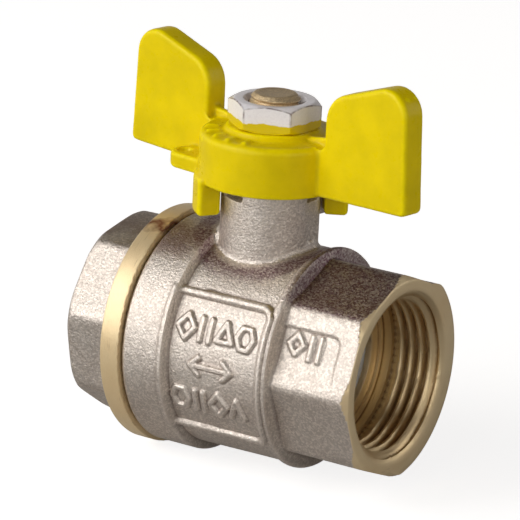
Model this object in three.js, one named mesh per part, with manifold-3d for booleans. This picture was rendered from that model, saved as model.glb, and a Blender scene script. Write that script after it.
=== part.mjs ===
// Quarter-turn ball valve, two-piece brass body with a butterfly handle. Millimetres, +Z up the stem.
// The stem axis is x = y = 0. The flow axis runs along X at z = flowZ. z = 0 is the lowest point.
import * as THREE from "three";
import { mergeVertices } from "three/addons/utils/BufferGeometryUtils.js";
import Module from "manifold-3d";

const wasm = await Module();
wasm.setup();

// ---------------------------------------------------------------- driving dimensions
const gap = 0.3; // clearance between pieces that are screwed or pressed together
const runningGap = 0.15; // clearance between pieces that turn on each other
const restingGap = 0.1; // clearance between a seat, seal or nut and what holds it
const roundSides = 40; // sides of the large round forms
const smallSides = 24; // sides of the small round forms
const ballSides = 36;
const bendSides = 6; // steps of a rounded corner
const edge = 0.4; // small bevel on outer edges
const reach = 1; // how far a cutting tool runs past the face that it cuts

const outletWeb = 1.6; // between the outlet's socket and its seat pocket, along the flow
const inletWeb = 3.8; // the same at the inlet
const spannerWall = 2.9; // under the octagon's flats, round a seat pocket
const mouthChamfer = 1.0; // bevel inside both mouths
const mouthBevel = 0.5; // bevel outside both mouths
const inletOctagonTurn = -12; // degrees, from a corner straight up; the outlet has none

const threadMajorRadius = 13.22; // G 3/4 parallel pipe thread
const threadMinorRadius = 12.06;
const threadPitch = 1.814;
const threadTurns = 5;
const threadRise = 0.2; // where a turn's crest, root and next flank start, as shares of the pitch
const threadRoot = 0.55;
const threadFall = 0.7;
const threadLeadIn = 0.3; // how much wider the mouth is than the thread's crests
const socketDepth = 10.6; // from a mouth to the shoulder inside it
const portRadius = 9.75; // the straight flow passage

const ballRadius = 14.8;
const cavityGap = 0.6; // between the ball and the wall of its chamber
const panelWall = 1.8; // thinnest wall, at the floor of the side panels
const bandStep = 1.7; // how far the wide band of the body stands above the panel's floor
const bandInnerX = 7.5; // where the band ends beside the panel
const panelDepth = 0.8; // how far the panel lies below the ribs that frame it
const panelRibWidth = 1.1;
const panelTop = 37.5; // degrees above and below the horizontal
const panelBottom = 31.5;
const rimX = 10.8; // right rim of the barrel
const rimWidth = 0.9;
const bandSlope = 0.6; // length of the slope from the band down to the panel's ribs

const seatCover = 0.5354; // share of the ball's rim, outside its bore, that a seat covers
const seatThickness = 1.954; // at the seat's bore
const seatLip = 0.3; // flat rim outside the face that follows the ball
const spigotWall = 1.3; // screwed part of the end connector, outside the ball's chamber
const spigotReach = 3.3; // how far it reaches inwards past the back of the seat pocket
const collarStep = 0.5; // how far the connector's machined collar stands above the band
const collarSetback = 1.8; // its inner face, outwards from the back of the seat pocket
const collarWidth = 3.4;
const jointSlot = 0.9; // open slot between the collar and the body
const waistDepth = 3; // how far the connector's core lies below its spigot

const flatPocketInset = 8.5; // from the mouth to the middle of the pocket in the upper front flat
const flatPocketLength = 10.6;
const flatPocketWidth = 7.6;
const flatPocketDepth = 0.5;

const stemRadius = 4.0;
const stemFlangeWidth = 1.8; // how far the flange stands out from the stem
const stemFlangeHeight = 1.5;
const stemFlatDepth = 1.0; // depth of each of the two flats that drive the handle
const stemBevel = 0.7;
const stemLift = 0.8; // from the ball's top to the flange
const tangWidth = 4.2; // tongue that drives the ball
const tangLength = 9.6;
const tangDepth = 2.8; // how far it reaches into the ball
const tangRoot = 0.2; // how far the tongue runs up into the flange
const washerThickness = 0.9;
const oringThickness = 1.5;
const oringSqueeze = 0.3; // how much shallower than its ring a groove is
const oringRise = [4.8, 8.6]; // middle of each O-ring on the stem, above the flange's underside

const neckWall = 3.85; // round the stem
const neckRise = 14.2; // from the stem flange's underside to the top of the neck
const neckFlare = 1.75; // how much wider the neck's foot is
const neckFlareTop = 0.8; // the flare's upper end
const neckFootHeight = 2.8; // height of the flare
const neckFootRise = 2.0; // top of the flare, above the panel's floor
const stopLugWidth = 2.55; // how far the fixed stop stands out from the back of the neck
const stopLugHeight = 5.3;
const stopLugClearance = 0.55; // below the hub

const hubRadius = 11.6;
const hubSkirt = 2.75; // how far the hub reaches down over the neck
const hubEdge = 0.8; // bevel of the hub's upper edge
const hubRecessClearance = 1.55; // hollow under the hub, round the neck
const hubHeadroom = 1.2; // and over it
const hubWeb = 4.2; // thickness of the hub above the hollow
const hubBossRadius = 8.4;
const hubBossHeight = 1.0;
const nutFlats = 13;
const nutHeight = 4.2;
const nutChamfer = 0.9;
const nutChamferSlope = 0.6; // height of the nut's bevels as a share of their width
const nutRest = 0.05; // clearance under the nut
const nutTurn = 22; // degrees, where one of its corners stands when the valve is open
const stemPastSeat = 5.2; // how far the stem's end stands above the nut's seat

const wingTurn = -10; // degrees, the wings' direction from the flow axis, seen from above
const wingThickness = 4.5;
const wingInnerReach = 12.4; // inner edge above the hub, from the stem axis
const wingOuterReach = 29.2; // outer edge at its foot
const wingDraft = 0.09; // how much the outer edge leans in, per unit of height
const wingBottomSlope = 0.04;
const wingFootLift = 0.25; // the wing's underside at the hub, above the hub's
const wingTopSlope = 0.265;
const wingRise = 8.1; // top of the wing at its inner edge, above the hub's top
const wingOuterCorner = 3.6; // corner radii of the outline
const wingInnerCorner = 5.6;
const wingFootCorner = 0.8;

const tabAngle = 40; // degrees, middle of the stop tab that meets the lug when the valve is open
const tabHalfSpan = 11; // degrees
const tabClearance = 0.55; // between a tab and the neck
const tabThickness = 3.9;
const tabDrop = 5.15; // how far the tabs hang below the hub
const tabStopGap = 1.5; // degrees of play between a tab and the stop lug
const quarterTurn = 90;

const earReach = 13.6; // small sealing ear beside each wing
const earRadius = 2.9;
const earHoleRadius = 1.25;
const earHoleShift = [0.6, -0.4]; // the hole's place from the middle of the ear's round end
const earOffset = 4.7;
const earThickness = 2.6;
const earRoot = 2; // how far the ear runs into the hub

// ---------------------------------------------------------------- values that follow
const degree = Math.PI / 180;
const halfSide = 22.5 * degree; // half the angle of one side of an octagon

const seatBoreRadius = portRadius + restingGap;
const seatOuterRadius = seatBoreRadius + seatCover * (ballRadius - seatBoreRadius);
const seatFaceRadius = ballRadius + runningGap;
const seatPocketRadius = seatOuterRadius + restingGap;
const spannerFlats = 2 * (seatPocketRadius + spannerWall);
const octagonRadius = spannerFlats / 2 / Math.cos(halfSide);
const cavityRadius = ballRadius + cavityGap;
const panelRadius = cavityRadius + panelWall;
const bandRadius = panelRadius + bandStep;
const spigotRadius = cavityRadius + spigotWall;
const collarRadius = bandRadius + collarStep;
const flowZ = collarRadius;

// Places along the flow axis are measured from the stem axis.
const seatPocketX = Math.sqrt(seatFaceRadius ** 2 - seatBoreRadius ** 2) + seatThickness;
const outletEnd = seatPocketX + outletWeb + socketDepth;
const inletEnd = seatPocketX + inletWeb + socketDepth;
const spigotInnerX = seatPocketX - spigotReach;
const collarInnerX = seatPocketX + collarSetback;
const collarOuterX = collarInnerX + collarWidth;
const flatPocketX = outletEnd - flatPocketInset;
const bodyLeftX = -(collarInnerX - jointSlot);
const ringGrooveX = -(seatPocketX - 0.2);
const ringGrooveRadius = spigotRadius - oringThickness + 0.2;

// Heights from here on are measured from the flow axis.
const stemFlangeRadius = stemRadius + stemFlangeWidth;
const stemFlangeBottom = ballRadius + stemLift;
const stemFlats = 2 * (stemRadius - stemFlatDepth);
const washerBottom = stemFlangeBottom + stemFlangeHeight;
const oringHeights = oringRise.map((rise) => stemFlangeBottom + rise);
const neckRadius = stemRadius + neckWall;
const neckTop = stemFlangeBottom + neckRise;
const neckFootTop = panelRadius + neckFootRise;
const hubBottom = neckTop - hubSkirt;
const hubRecessRadius = neckRadius + hubRecessClearance;
const hubRecessTop = neckTop + hubHeadroom;
const hubTop = hubRecessTop + hubWeb;
const nutSeat = hubTop + hubBossHeight;
const stemEnd = nutSeat + stemPastSeat;
const wingBottom = hubBottom + wingFootLift;
const wingTop = hubTop + wingRise;
const stopLugRadius = neckRadius + stopLugWidth;
const stopLugTop = hubBottom - stopLugClearance;
const tabInnerRadius = neckRadius + tabClearance;
const tabOuterRadius = tabInnerRadius + tabThickness;
const tabBottom = hubBottom - tabDrop;

// ---------------------------------------------------------------- solids
// A closed mesh as a manifold solid; vertices are shared by position only.
function solid(geometry) {
  const bare = geometry.index ? geometry.toNonIndexed() : geometry.clone();
  bare.deleteAttribute("normal");
  bare.deleteAttribute("uv");
  const merged = mergeVertices(bare, 1e-4);
  return new wasm.Manifold(
    new wasm.Mesh({
      numProp: 3,
      vertProperties: merged.attributes.position.array,
      triVerts: new Uint32Array(merged.index.array),
    }),
  );
}

// A manifold solid as a named, coloured mesh.
function piece(name, shape, material) {
  const mesh = shape.getMesh();
  const geometry = new THREE.BufferGeometry();
  geometry.setAttribute("position", new THREE.BufferAttribute(mesh.vertProperties, 3));
  geometry.setIndex(new THREE.BufferAttribute(mesh.triVerts, 1));
  const flat = geometry.toNonIndexed();
  flat.computeVertexNormals();
  const made = new THREE.Mesh(flat, material);
  made.name = name;
  return made;
}

// A round form about the vertical axis. The profile is [radius, height] pairs.
// It runs upwards on the outside, and starts and ends on the axis or closes on itself.
function turned(profile, sides = smallSides) {
  const points = profile.map(([radius, height]) => new THREE.Vector2(radius, height));
  const geometry = new THREE.LatheGeometry(points, sides);
  geometry.rotateX(Math.PI / 2);
  return solid(geometry);
}

// The same about the flow axis, from [x, radius] pairs that run towards +X on the outside.
function turnedAlongFlow(profile) {
  const points = profile.map(([x, radius]) => new THREE.Vector2(radius, x));
  const geometry = new THREE.LatheGeometry(points, roundSides);
  geometry.rotateZ(-Math.PI / 2);
  geometry.translate(0, 0, flowZ);
  return solid(geometry);
}

// An outline in the YZ plane, carried from fromX to toX.
function alongFlow(shape, fromX, toX) {
  const geometry = new THREE.ExtrudeGeometry(shape, {
    depth: toX - fromX,
    bevelEnabled: false,
    curveSegments: bendSides,
  });
  const toFlow = new THREE.Matrix4().makeBasis(
    new THREE.Vector3(0, 1, 0),
    new THREE.Vector3(0, 0, 1),
    new THREE.Vector3(1, 0, 0),
  );
  geometry.applyMatrix4(toFlow);
  geometry.translate(fromX, 0, flowZ);
  return solid(geometry);
}

// An outline in the XY plane, carried from one height to another.
function upright(shape, bottom, top) {
  const geometry = new THREE.ExtrudeGeometry(shape, {
    depth: top - bottom,
    bevelEnabled: false,
    curveSegments: 2 * bendSides,
  });
  geometry.translate(0, 0, bottom);
  return solid(geometry);
}

function box(sizeX, sizeY, sizeZ, x, y, z) {
  return solid(new THREE.BoxGeometry(sizeX, sizeY, sizeZ).translate(x, y, z));
}

// A polygon with equal sides, the first corner at startAngle.
function polygon(corners, radius, startAngle = 0) {
  const shape = new THREE.Shape();
  for (let i = 0; i < corners; i += 1) {
    const angle = startAngle + (i * 2 * Math.PI) / corners;
    const point = [radius * Math.cos(angle), radius * Math.sin(angle)];
    if (i === 0) shape.moveTo(...point);
    else shape.lineTo(...point);
  }
  shape.closePath();
  return shape;
}

// A piece of a ring between two radii and two angles in degrees.
function ringSector(inner, outer, fromDegree, toDegree) {
  const shape = new THREE.Shape();
  shape.absarc(0, 0, outer, fromDegree * degree, toDegree * degree, false);
  shape.absarc(0, 0, inner, toDegree * degree, fromDegree * degree, true);
  shape.closePath();
  return shape;
}

// ---------------------------------------------------------------- threaded mouths
// The hollow of a mouth, as [distance from the mouth, radius] pairs running inwards.
function socketProfile() {
  const profile = [
    [0, threadMajorRadius + mouthChamfer * 0.5],
    [mouthChamfer, threadMinorRadius + threadLeadIn],
  ];
  for (let turn = 0; turn < threadTurns; turn += 1) {
    const start = mouthChamfer + turn * threadPitch;
    profile.push([start + threadPitch * threadRise, threadMinorRadius]);
    profile.push([start + threadPitch * threadRoot, threadMajorRadius]);
    profile.push([start + threadPitch * threadFall, threadMajorRadius]);
  }
  profile.push([socketDepth, threadMajorRadius]);
  profile.push([socketDepth, portRadius]);
  return profile;
}

// An octagonal spanner end from innerX to its mouth. A corner points up, as on the forging.
function octagonEnd(innerX, mouthX, turn) {
  const low = Math.min(innerX, mouthX);
  const high = Math.max(innerX, mouthX);
  const prism = alongFlow(polygon(8, octagonRadius, turn), low, high);
  const side = Math.sign(mouthX - innerX);
  const bevelled = turnedAlongFlow([
    [0, 0],
    [0, octagonRadius + reach],
    [Math.abs(mouthX) - mouthBevel, octagonRadius + restingGap],
    [Math.abs(mouthX), octagonRadius - mouthBevel],
    [Math.abs(mouthX), 0],
  ]);
  return prism.intersect(side > 0 ? bevelled : bevelled.mirror([1, 0, 0]));
}

// ---------------------------------------------------------------- body
function makeBody() {
  const barrel = turnedAlongFlow([
    [bodyLeftX, 0],
    [bodyLeftX, bandRadius - edge],
    [bodyLeftX + edge, bandRadius],
    [-bandInnerX, bandRadius],
    [-bandInnerX + bandSlope, panelRadius + panelDepth],
    [rimX - rimWidth, panelRadius + panelDepth],
    [rimX, panelRadius],
    [rimX, 0],
  ]);
  const mouth = octagonEnd(rimX - reach, outletEnd, 0);
  const neck = turned(
    [
      [0, flowZ],
      [neckRadius + neckFlare, flowZ],
      [neckRadius + neckFlare, flowZ + neckFootTop - neckFootHeight],
      [neckRadius + neckFlareTop, flowZ + neckFootTop - neckFlareTop],
      [neckRadius, flowZ + neckFootTop],
      [neckRadius, flowZ + neckTop - edge],
      [neckRadius - edge, flowZ + neckTop],
      [0, flowZ + neckTop],
    ],
    roundSides,
  );
  const lugStart = tabAngle + tabHalfSpan + tabStopGap;
  const lugEnd = 180 + tabAngle - quarterTurn - tabHalfSpan - tabStopGap;
  const lug = upright(
    ringSector(neckRadius - reach, stopLugRadius, lugStart, lugEnd),
    flowZ + stopLugTop - stopLugHeight,
    flowZ + stopLugTop,
  );
  const passage = turnedAlongFlow([
    [bodyLeftX - reach, 0],
    [bodyLeftX - reach, spigotRadius + gap],
    [-spigotInnerX + gap, spigotRadius + gap],
    [-spigotInnerX + gap, cavityRadius],
    ...ballChamberArc(),
    [seatPocketX, seatPocketRadius],
    [seatPocketX, portRadius],
    ...socketProfile()
      .reverse()
      .map(([depth, radius]) => [outletEnd - depth, radius]),
    [outletEnd + reach, threadMajorRadius + mouthChamfer],
    [outletEnd + reach, 0],
  ]);
  const stemBore = turned([
    [0, flowZ],
    [stemFlangeRadius + gap, flowZ],
    [stemFlangeRadius + gap, flowZ + washerBottom + washerThickness + runningGap],
    [stemRadius + runningGap, flowZ + washerBottom + washerThickness + runningGap],
    [stemRadius + runningGap, flowZ + neckTop + reach],
    [0, flowZ + neckTop + reach],
  ]);
  return barrel
    .add(mouth)
    .add(neck)
    .add(lug)
    .subtract(panelPocket(-panelBottom, panelTop))
    .subtract(panelPocket(180 - panelTop, 180 + panelBottom))
    .subtract(flatPocket())
    .subtract(passage)
    .subtract(stemBore);
}

// The ball's chamber towards the outlet: an arc about the ball's centre, cut off by the seat pocket.
function ballChamberArc() {
  const arc = [];
  const steps = 8;
  const stop = Math.acos(seatPocketRadius / cavityRadius);
  for (let i = 0; i <= steps; i += 1) {
    const angle = (stop * i) / steps;
    arc.push([cavityRadius * Math.sin(angle), cavityRadius * Math.cos(angle)]);
  }
  return arc;
}

// The sunk panel on one side of the barrel, between two angles from the horizontal, in degrees.
function panelPocket(fromDegree, toDegree) {
  const outline = ringSector(panelRadius, bandRadius + reach, fromDegree, toDegree);
  return alongFlow(outline, -bandInnerX + panelRibWidth, rimX - rimWidth);
}

// The shallow pocket in the octagon's upper front flat.
function flatPocket() {
  const pocket = new THREE.BoxGeometry(flatPocketLength, flatPocketWidth, flatPocketDepth * 2);
  pocket.translate(flatPocketX, 0, spannerFlats / 2);
  pocket.rotateX(3 * halfSide);
  pocket.translate(0, 0, flowZ);
  return solid(pocket);
}

// ---------------------------------------------------------------- end connector
function makeConnector() {
  const ringGrooveEnd = ringGrooveX + oringThickness + gap;
  const core = spigotRadius - waistDepth;
  const blank = turnedAlongFlow([
    [-inletEnd + 2 * reach, 0],
    [-inletEnd + 2 * reach, core],
    [-collarOuterX, core],
    [-collarOuterX, collarRadius],
    [-collarInnerX, collarRadius],
    [-collarInnerX, spigotRadius],
    [ringGrooveX, spigotRadius],
    [ringGrooveX, ringGrooveRadius],
    [ringGrooveEnd, ringGrooveRadius],
    [ringGrooveEnd, spigotRadius],
    [-spigotInnerX, spigotRadius],
    [-spigotInnerX, 0],
  ]);
  const passage = turnedAlongFlow([
    [-inletEnd - reach, 0],
    [-inletEnd - reach, threadMajorRadius + mouthChamfer],
    ...socketProfile().map(([depth, radius]) => [-inletEnd + depth, radius]),
    [-seatPocketX, portRadius],
    [-seatPocketX, seatPocketRadius],
    [-spigotInnerX + reach, seatPocketRadius],
    [-spigotInnerX + reach, 0],
  ]);
  const octagon = octagonEnd(-collarOuterX + edge, -inletEnd, inletOctagonTurn * degree);
  return blank.add(octagon).subtract(passage);
}

function makeBodyRing() {
  const start = ringGrooveX + gap / 2;
  const inner = ringGrooveRadius + restingGap;
  const outer = spigotRadius + gap - restingGap;
  return turnedAlongFlow([
    [start, inner],
    [start, outer],
    [start + oringThickness, outer],
    [start + oringThickness, inner],
    [start, inner],
  ]);
}

// ---------------------------------------------------------------- ball, seats and stem
// The tongue's slot crosses the top of the ball, square to its bore.
function makeBall() {
  const sphere = solid(new THREE.SphereGeometry(ballRadius, ballSides, ballSides / 2).translate(0, 0, flowZ));
  const bore = turnedAlongFlow([
    [-ballRadius, 0],
    [-ballRadius, portRadius],
    [ballRadius, portRadius],
    [ballRadius, 0],
  ]);
  const slotFloor = ballRadius - tangDepth - gap;
  const slotHeight = tangDepth + gap + reach;
  const slot = box(
    tangWidth + 2 * runningGap,
    2 * ballRadius,
    slotHeight,
    0,
    0,
    flowZ + slotFloor + slotHeight / 2,
  );
  return sphere.subtract(bore).subtract(slot);
}

// A seat ring: its inner face follows the ball. side is +1 at the outlet and -1 at the inlet.
function makeSeat(side) {
  const arc = [];
  for (let i = 0; i <= bendSides; i += 1) {
    const radius = seatBoreRadius + ((seatOuterRadius - seatLip - seatBoreRadius) * i) / bendSides;
    arc.push([Math.sqrt(seatFaceRadius ** 2 - radius ** 2), radius]);
  }
  const ring = turnedAlongFlow([
    ...arc,
    [arc[bendSides][0] + seatLip, seatOuterRadius],
    [seatPocketX - restingGap, seatOuterRadius],
    [seatPocketX - restingGap, seatBoreRadius],
    arc[0],
  ]);
  return side > 0 ? ring : ring.mirror([1, 0, 0]);
}

function makeStem() {
  const grooveHalf = oringThickness / 2 + runningGap;
  const grooveRadius = stemRadius - oringThickness + oringSqueeze;
  const grooves = oringHeights.flatMap((height) => [
    [stemRadius, flowZ + height - grooveHalf],
    [grooveRadius, flowZ + height - grooveHalf],
    [grooveRadius, flowZ + height + grooveHalf],
    [stemRadius, flowZ + height + grooveHalf],
  ]);
  const shaft = turned([
    [0, flowZ + stemFlangeBottom],
    [stemFlangeRadius, flowZ + stemFlangeBottom],
    [stemFlangeRadius, flowZ + stemFlangeBottom + stemFlangeHeight],
    [stemRadius, flowZ + stemFlangeBottom + stemFlangeHeight],
    ...grooves,
    [stemRadius, flowZ + stemEnd - stemBevel],
    [stemRadius - stemBevel, flowZ + stemEnd],
    [0, flowZ + stemEnd],
  ]);
  const flatHeight = nutSeat - hubRecessTop + gap;
  const flatMiddle = flowZ + hubRecessTop - gap + flatHeight / 2;
  const cutDepth = stemFlatDepth + reach;
  const sideways = (stemFlats + cutDepth) / 2;
  const cutFront = box(4 * stemRadius, cutDepth, flatHeight, 0, -sideways, flatMiddle);
  const cutBack = box(4 * stemRadius, cutDepth, flatHeight, 0, sideways, flatMiddle);
  const tangBottom = ballRadius - tangDepth;
  const tangHeight = stemFlangeBottom + tangRoot - tangBottom;
  const tang = box(
    tangWidth,
    tangLength,
    tangHeight,
    0,
    0,
    flowZ + tangBottom + tangHeight / 2,
  );
  return shaft.subtract(cutFront).subtract(cutBack).add(tang);
}

function flatRing(inner, outer, bottom, top) {
  return turned([
    [inner, flowZ + bottom],
    [outer, flowZ + bottom],
    [outer, flowZ + top],
    [inner, flowZ + top],
    [inner, flowZ + bottom],
  ]);
}

function makeWasher() {
  const bottom = washerBottom + runningGap / 2;
  const outer = stemFlangeRadius;
  return flatRing(stemRadius + runningGap, outer, bottom, bottom + washerThickness);
}

function makeStemRing(height) {
  const inner = stemRadius - oringThickness + oringSqueeze + restingGap / 2;
  const outer = stemRadius + runningGap - restingGap / 2;
  return flatRing(inner, outer, height - oringThickness / 2, height + oringThickness / 2);
}

// ---------------------------------------------------------------- handle and nut
// One wing's outline, standing in the XZ plane: reach from the stem axis, height from the flow axis.
function wingOutline() {
  const bottomAt = (reach) => wingBottom + (reach - hubRadius) * wingBottomSlope;
  const topAt = (reach) => wingTop + (reach - wingInnerReach) * wingTopSlope;
  const outerAt = (height) => wingOuterReach - (height - wingBottom) * wingDraft;
  const topReach = outerAt(topAt(wingOuterReach));
  const shape = new THREE.Shape();
  shape.moveTo(0, bottomAt(0));
  shape.lineTo(wingOuterReach - wingFootCorner, bottomAt(wingOuterReach - wingFootCorner));
  shape.quadraticCurveTo(
    wingOuterReach,
    bottomAt(wingOuterReach),
    outerAt(wingBottom + 2 * wingFootCorner),
    wingBottom + 2 * wingFootCorner,
  );
  shape.lineTo(outerAt(topAt(topReach) - wingOuterCorner), topAt(topReach) - wingOuterCorner);
  shape.quadraticCurveTo(
    topReach,
    topAt(topReach),
    topReach - wingOuterCorner,
    topAt(topReach - wingOuterCorner),
  );
  shape.lineTo(wingInnerReach + wingInnerCorner, topAt(wingInnerReach + wingInnerCorner));
  shape.quadraticCurveTo(
    wingInnerReach,
    topAt(wingInnerReach),
    wingInnerReach,
    topAt(wingInnerReach) - wingInnerCorner,
  );
  shape.lineTo(wingInnerReach, hubTop);
  shape.lineTo(0, hubTop);
  shape.closePath();
  return shape;
}

function makeWing() {
  const geometry = new THREE.ExtrudeGeometry(wingOutline(), {
    depth: wingThickness,
    bevelEnabled: false,
    curveSegments: bendSides,
  });
  geometry.translate(0, 0, -wingThickness / 2);
  geometry.rotateX(Math.PI / 2);
  geometry.translate(0, 0, flowZ);
  return solid(geometry);
}

// The ear stands in front of the wing that points to the inlet, seen from the front.
function makeEar() {
  const outline = new THREE.Shape();
  outline.absarc(-earReach, -earOffset, earRadius, 0.5 * Math.PI, 1.5 * Math.PI, false);
  outline.lineTo(-hubRadius + earRoot, -earOffset - earRadius);
  outline.lineTo(-hubRadius + earRoot, -earOffset + earRadius);
  outline.closePath();
  const hole = new THREE.Path();
  hole.absarc(-earReach + earHoleShift[0], -earOffset + earHoleShift[1], earHoleRadius, 0, 2 * Math.PI, true);
  outline.holes.push(hole);
  return upright(outline, flowZ + wingBottom, flowZ + wingBottom + earThickness);
}

function makeHandle() {
  const hub = turned(
    [
      [0, flowZ + hubBottom],
      [hubRadius - edge, flowZ + hubBottom],
      [hubRadius, flowZ + hubBottom + edge],
      [hubRadius, flowZ + hubTop - hubEdge],
      [hubRadius - hubEdge, flowZ + hubTop],
      [hubBossRadius, flowZ + hubTop],
      [hubBossRadius, flowZ + nutSeat],
      [0, flowZ + nutSeat],
    ],
    roundSides,
  );
  const tab = upright(
    ringSector(tabInnerRadius, tabOuterRadius, -tabHalfSpan, tabHalfSpan),
    flowZ + tabBottom,
    flowZ + hubBottom + reach,
  );
  const wingAndEar = makeWing().add(makeEar());
  const halfHandle = wingAndEar.rotate([0, 0, wingTurn]).add(tab.rotate([0, 0, tabAngle]));
  const recess = turned(
    [
      [0, flowZ + hubBottom - reach],
      [hubRecessRadius, flowZ + hubBottom - reach],
      [hubRecessRadius, flowZ + hubRecessTop],
      [0, flowZ + hubRecessTop],
    ],
    roundSides,
  );
  const holeRadius = stemRadius + restingGap;
  const holeBottom = flowZ + hubRecessTop - reach;
  const holeTop = flowZ + nutSeat + reach;
  const holeMiddle = (holeBottom + holeTop) / 2;
  const driveHole = turned([
    [0, holeBottom],
    [holeRadius, holeBottom],
    [holeRadius, holeTop],
    [0, holeTop],
  ]);
  const acrossFlats = stemFlats + 2 * restingGap;
  const flats = box(4 * stemRadius, acrossFlats, holeTop - holeBottom + reach, 0, 0, holeMiddle);
  return hub
    .add(halfHandle)
    .add(halfHandle.rotate([0, 0, 180]))
    .subtract(recess)
    .subtract(driveHole.intersect(flats));
}

function makeNut() {
  const corner = nutFlats / 2 / Math.cos(30 * degree);
  const bottom = flowZ + nutSeat + nutRest;
  const top = bottom + nutHeight;
  const bevel = nutChamfer * nutChamferSlope;
  const blank = upright(polygon(6, corner, nutTurn * degree), bottom, top);
  const bevelled = turned([
    [0, bottom],
    [nutFlats / 2, bottom],
    [corner + restingGap, bottom + bevel],
    [corner + restingGap, top - bevel],
    [nutFlats / 2 - restingGap, top],
    [0, top],
  ]);
  const boreRadius = stemRadius + restingGap;
  const bore = turned([
    [0, bottom - reach],
    [boreRadius, bottom - reach],
    [boreRadius, top - bevel],
    [boreRadius + bevel, top],
    [boreRadius + bevel, top + reach],
    [0, top + reach],
  ]);
  return blank.intersect(bevelled).subtract(bore);
}

// ---------------------------------------------------------------- materials
function finish(color, roughness, metalness) {
  return new THREE.MeshStandardMaterial({ color, roughness, metalness });
}

const nickel = finish(0xa39a90, 0.45, 1);
const brass = finish(0xc2a15a, 0.35, 1);
const chrome = finish(0xd8dde2, 0.1, 1);
const yellowPaint = finish(0xe8d000, 0.3, 0);
const zinc = finish(0xc9c6c0, 0.25, 1);
const whitePolymer = finish(0xf2f0ea, 0.5, 0);
const rubber = finish(0x1b1b1b, 0.7, 0);

// ---------------------------------------------------------------- assembly
const ballValve = new THREE.Group();

const fixed = new THREE.Group();
fixed.add(piece("valve_body", makeBody(), nickel));
fixed.add(piece("end_connector", makeConnector(), nickel));
fixed.add(piece("body_oring", makeBodyRing(), rubber));
fixed.add(piece("outlet_seat", makeSeat(1), whitePolymer));
fixed.add(piece("inlet_seat", makeSeat(-1), whitePolymer));
ballValve.add(fixed);

const closure = new THREE.Group();
closure.add(piece("ball", makeBall(), chrome));
ballValve.add(closure);

const turning = new THREE.Group();
turning.add(piece("stem", makeStem(), brass));
turning.add(piece("stem_thrust_washer", makeWasher(), whitePolymer));
turning.add(piece("stem_oring_lower", makeStemRing(oringHeights[0]), rubber));
turning.add(piece("stem_oring_upper", makeStemRing(oringHeights[1]), rubber));
turning.add(piece("handle", makeHandle(), yellowPaint));
turning.add(piece("handle_nut", makeNut(), zinc));
ballValve.add(turning);

export default ballValve;
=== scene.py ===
import math

import bpy
import numpy as np
from mathutils import Matrix, Vector


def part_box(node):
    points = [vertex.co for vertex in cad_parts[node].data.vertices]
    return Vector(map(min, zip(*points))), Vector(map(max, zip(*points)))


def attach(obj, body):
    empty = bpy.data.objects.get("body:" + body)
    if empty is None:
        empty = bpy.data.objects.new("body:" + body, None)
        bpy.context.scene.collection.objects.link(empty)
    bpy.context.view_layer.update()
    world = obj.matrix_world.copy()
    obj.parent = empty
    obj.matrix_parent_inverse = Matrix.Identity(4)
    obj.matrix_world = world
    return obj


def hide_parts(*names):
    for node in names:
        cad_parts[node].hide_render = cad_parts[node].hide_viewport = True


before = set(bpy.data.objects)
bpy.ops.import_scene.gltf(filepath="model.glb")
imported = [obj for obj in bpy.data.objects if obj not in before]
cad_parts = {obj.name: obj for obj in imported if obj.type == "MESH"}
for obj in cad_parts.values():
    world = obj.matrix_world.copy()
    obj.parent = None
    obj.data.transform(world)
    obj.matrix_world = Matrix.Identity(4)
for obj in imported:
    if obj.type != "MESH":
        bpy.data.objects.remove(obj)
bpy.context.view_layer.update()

bl_info = {
    "name": "Ball valve",
    "version": (1, 0, 0),
    "blender": (4, 5, 0),
    "location": "View3D > Sidebar > Ball valve",
    "description": "Surfaces, finishes and stage of a quarter-turn ball valve with a butterfly handle",
    "category": "Object",
}

# Lengths in the shape functions are millimetres; MM turns them into metres.
MM = 0.001

# ---------------------------------------------------------------- sizes taken from the frame
BODY_LOW, BODY_HIGH = (np.array(corner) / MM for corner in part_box("valve_body"))
INLET_LOW, INLET_HIGH = (np.array(corner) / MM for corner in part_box("end_connector"))
BALL_LOW, BALL_HIGH = (np.array(corner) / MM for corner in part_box("ball"))
NUT_LOW, NUT_HIGH = (np.array(corner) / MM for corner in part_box("handle_nut"))
STEM_HIGH = np.array(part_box("stem")[1]) / MM
BALL_RADIUS = float(BALL_HIGH[1])
FLOW_Z = float(BALL_LOW[2]) + BALL_RADIUS  # height of the flow axis
OUTLET_X = float(BODY_HIGH[0])
BODY_LEFT_X = float(BODY_LOW[0])
INLET_X = float(INLET_LOW[0])
COLLAR_RADIUS = float(INLET_HIGH[1])
BAND_RADIUS = float(BODY_HIGH[1])
NECK_TOP = float(BODY_HIGH[2]) - FLOW_Z  # heights of the neck and handle are from the flow axis
HUB_BOTTOM = 27.05
HUB_TOP = 35.2
NUT_SEAT = float(NUT_LOW[2]) - FLOW_Z
NUT_TOP = float(NUT_HIGH[2]) - FLOW_Z
STEM_TOP = float(STEM_HIGH[2]) - FLOW_Z


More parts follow.
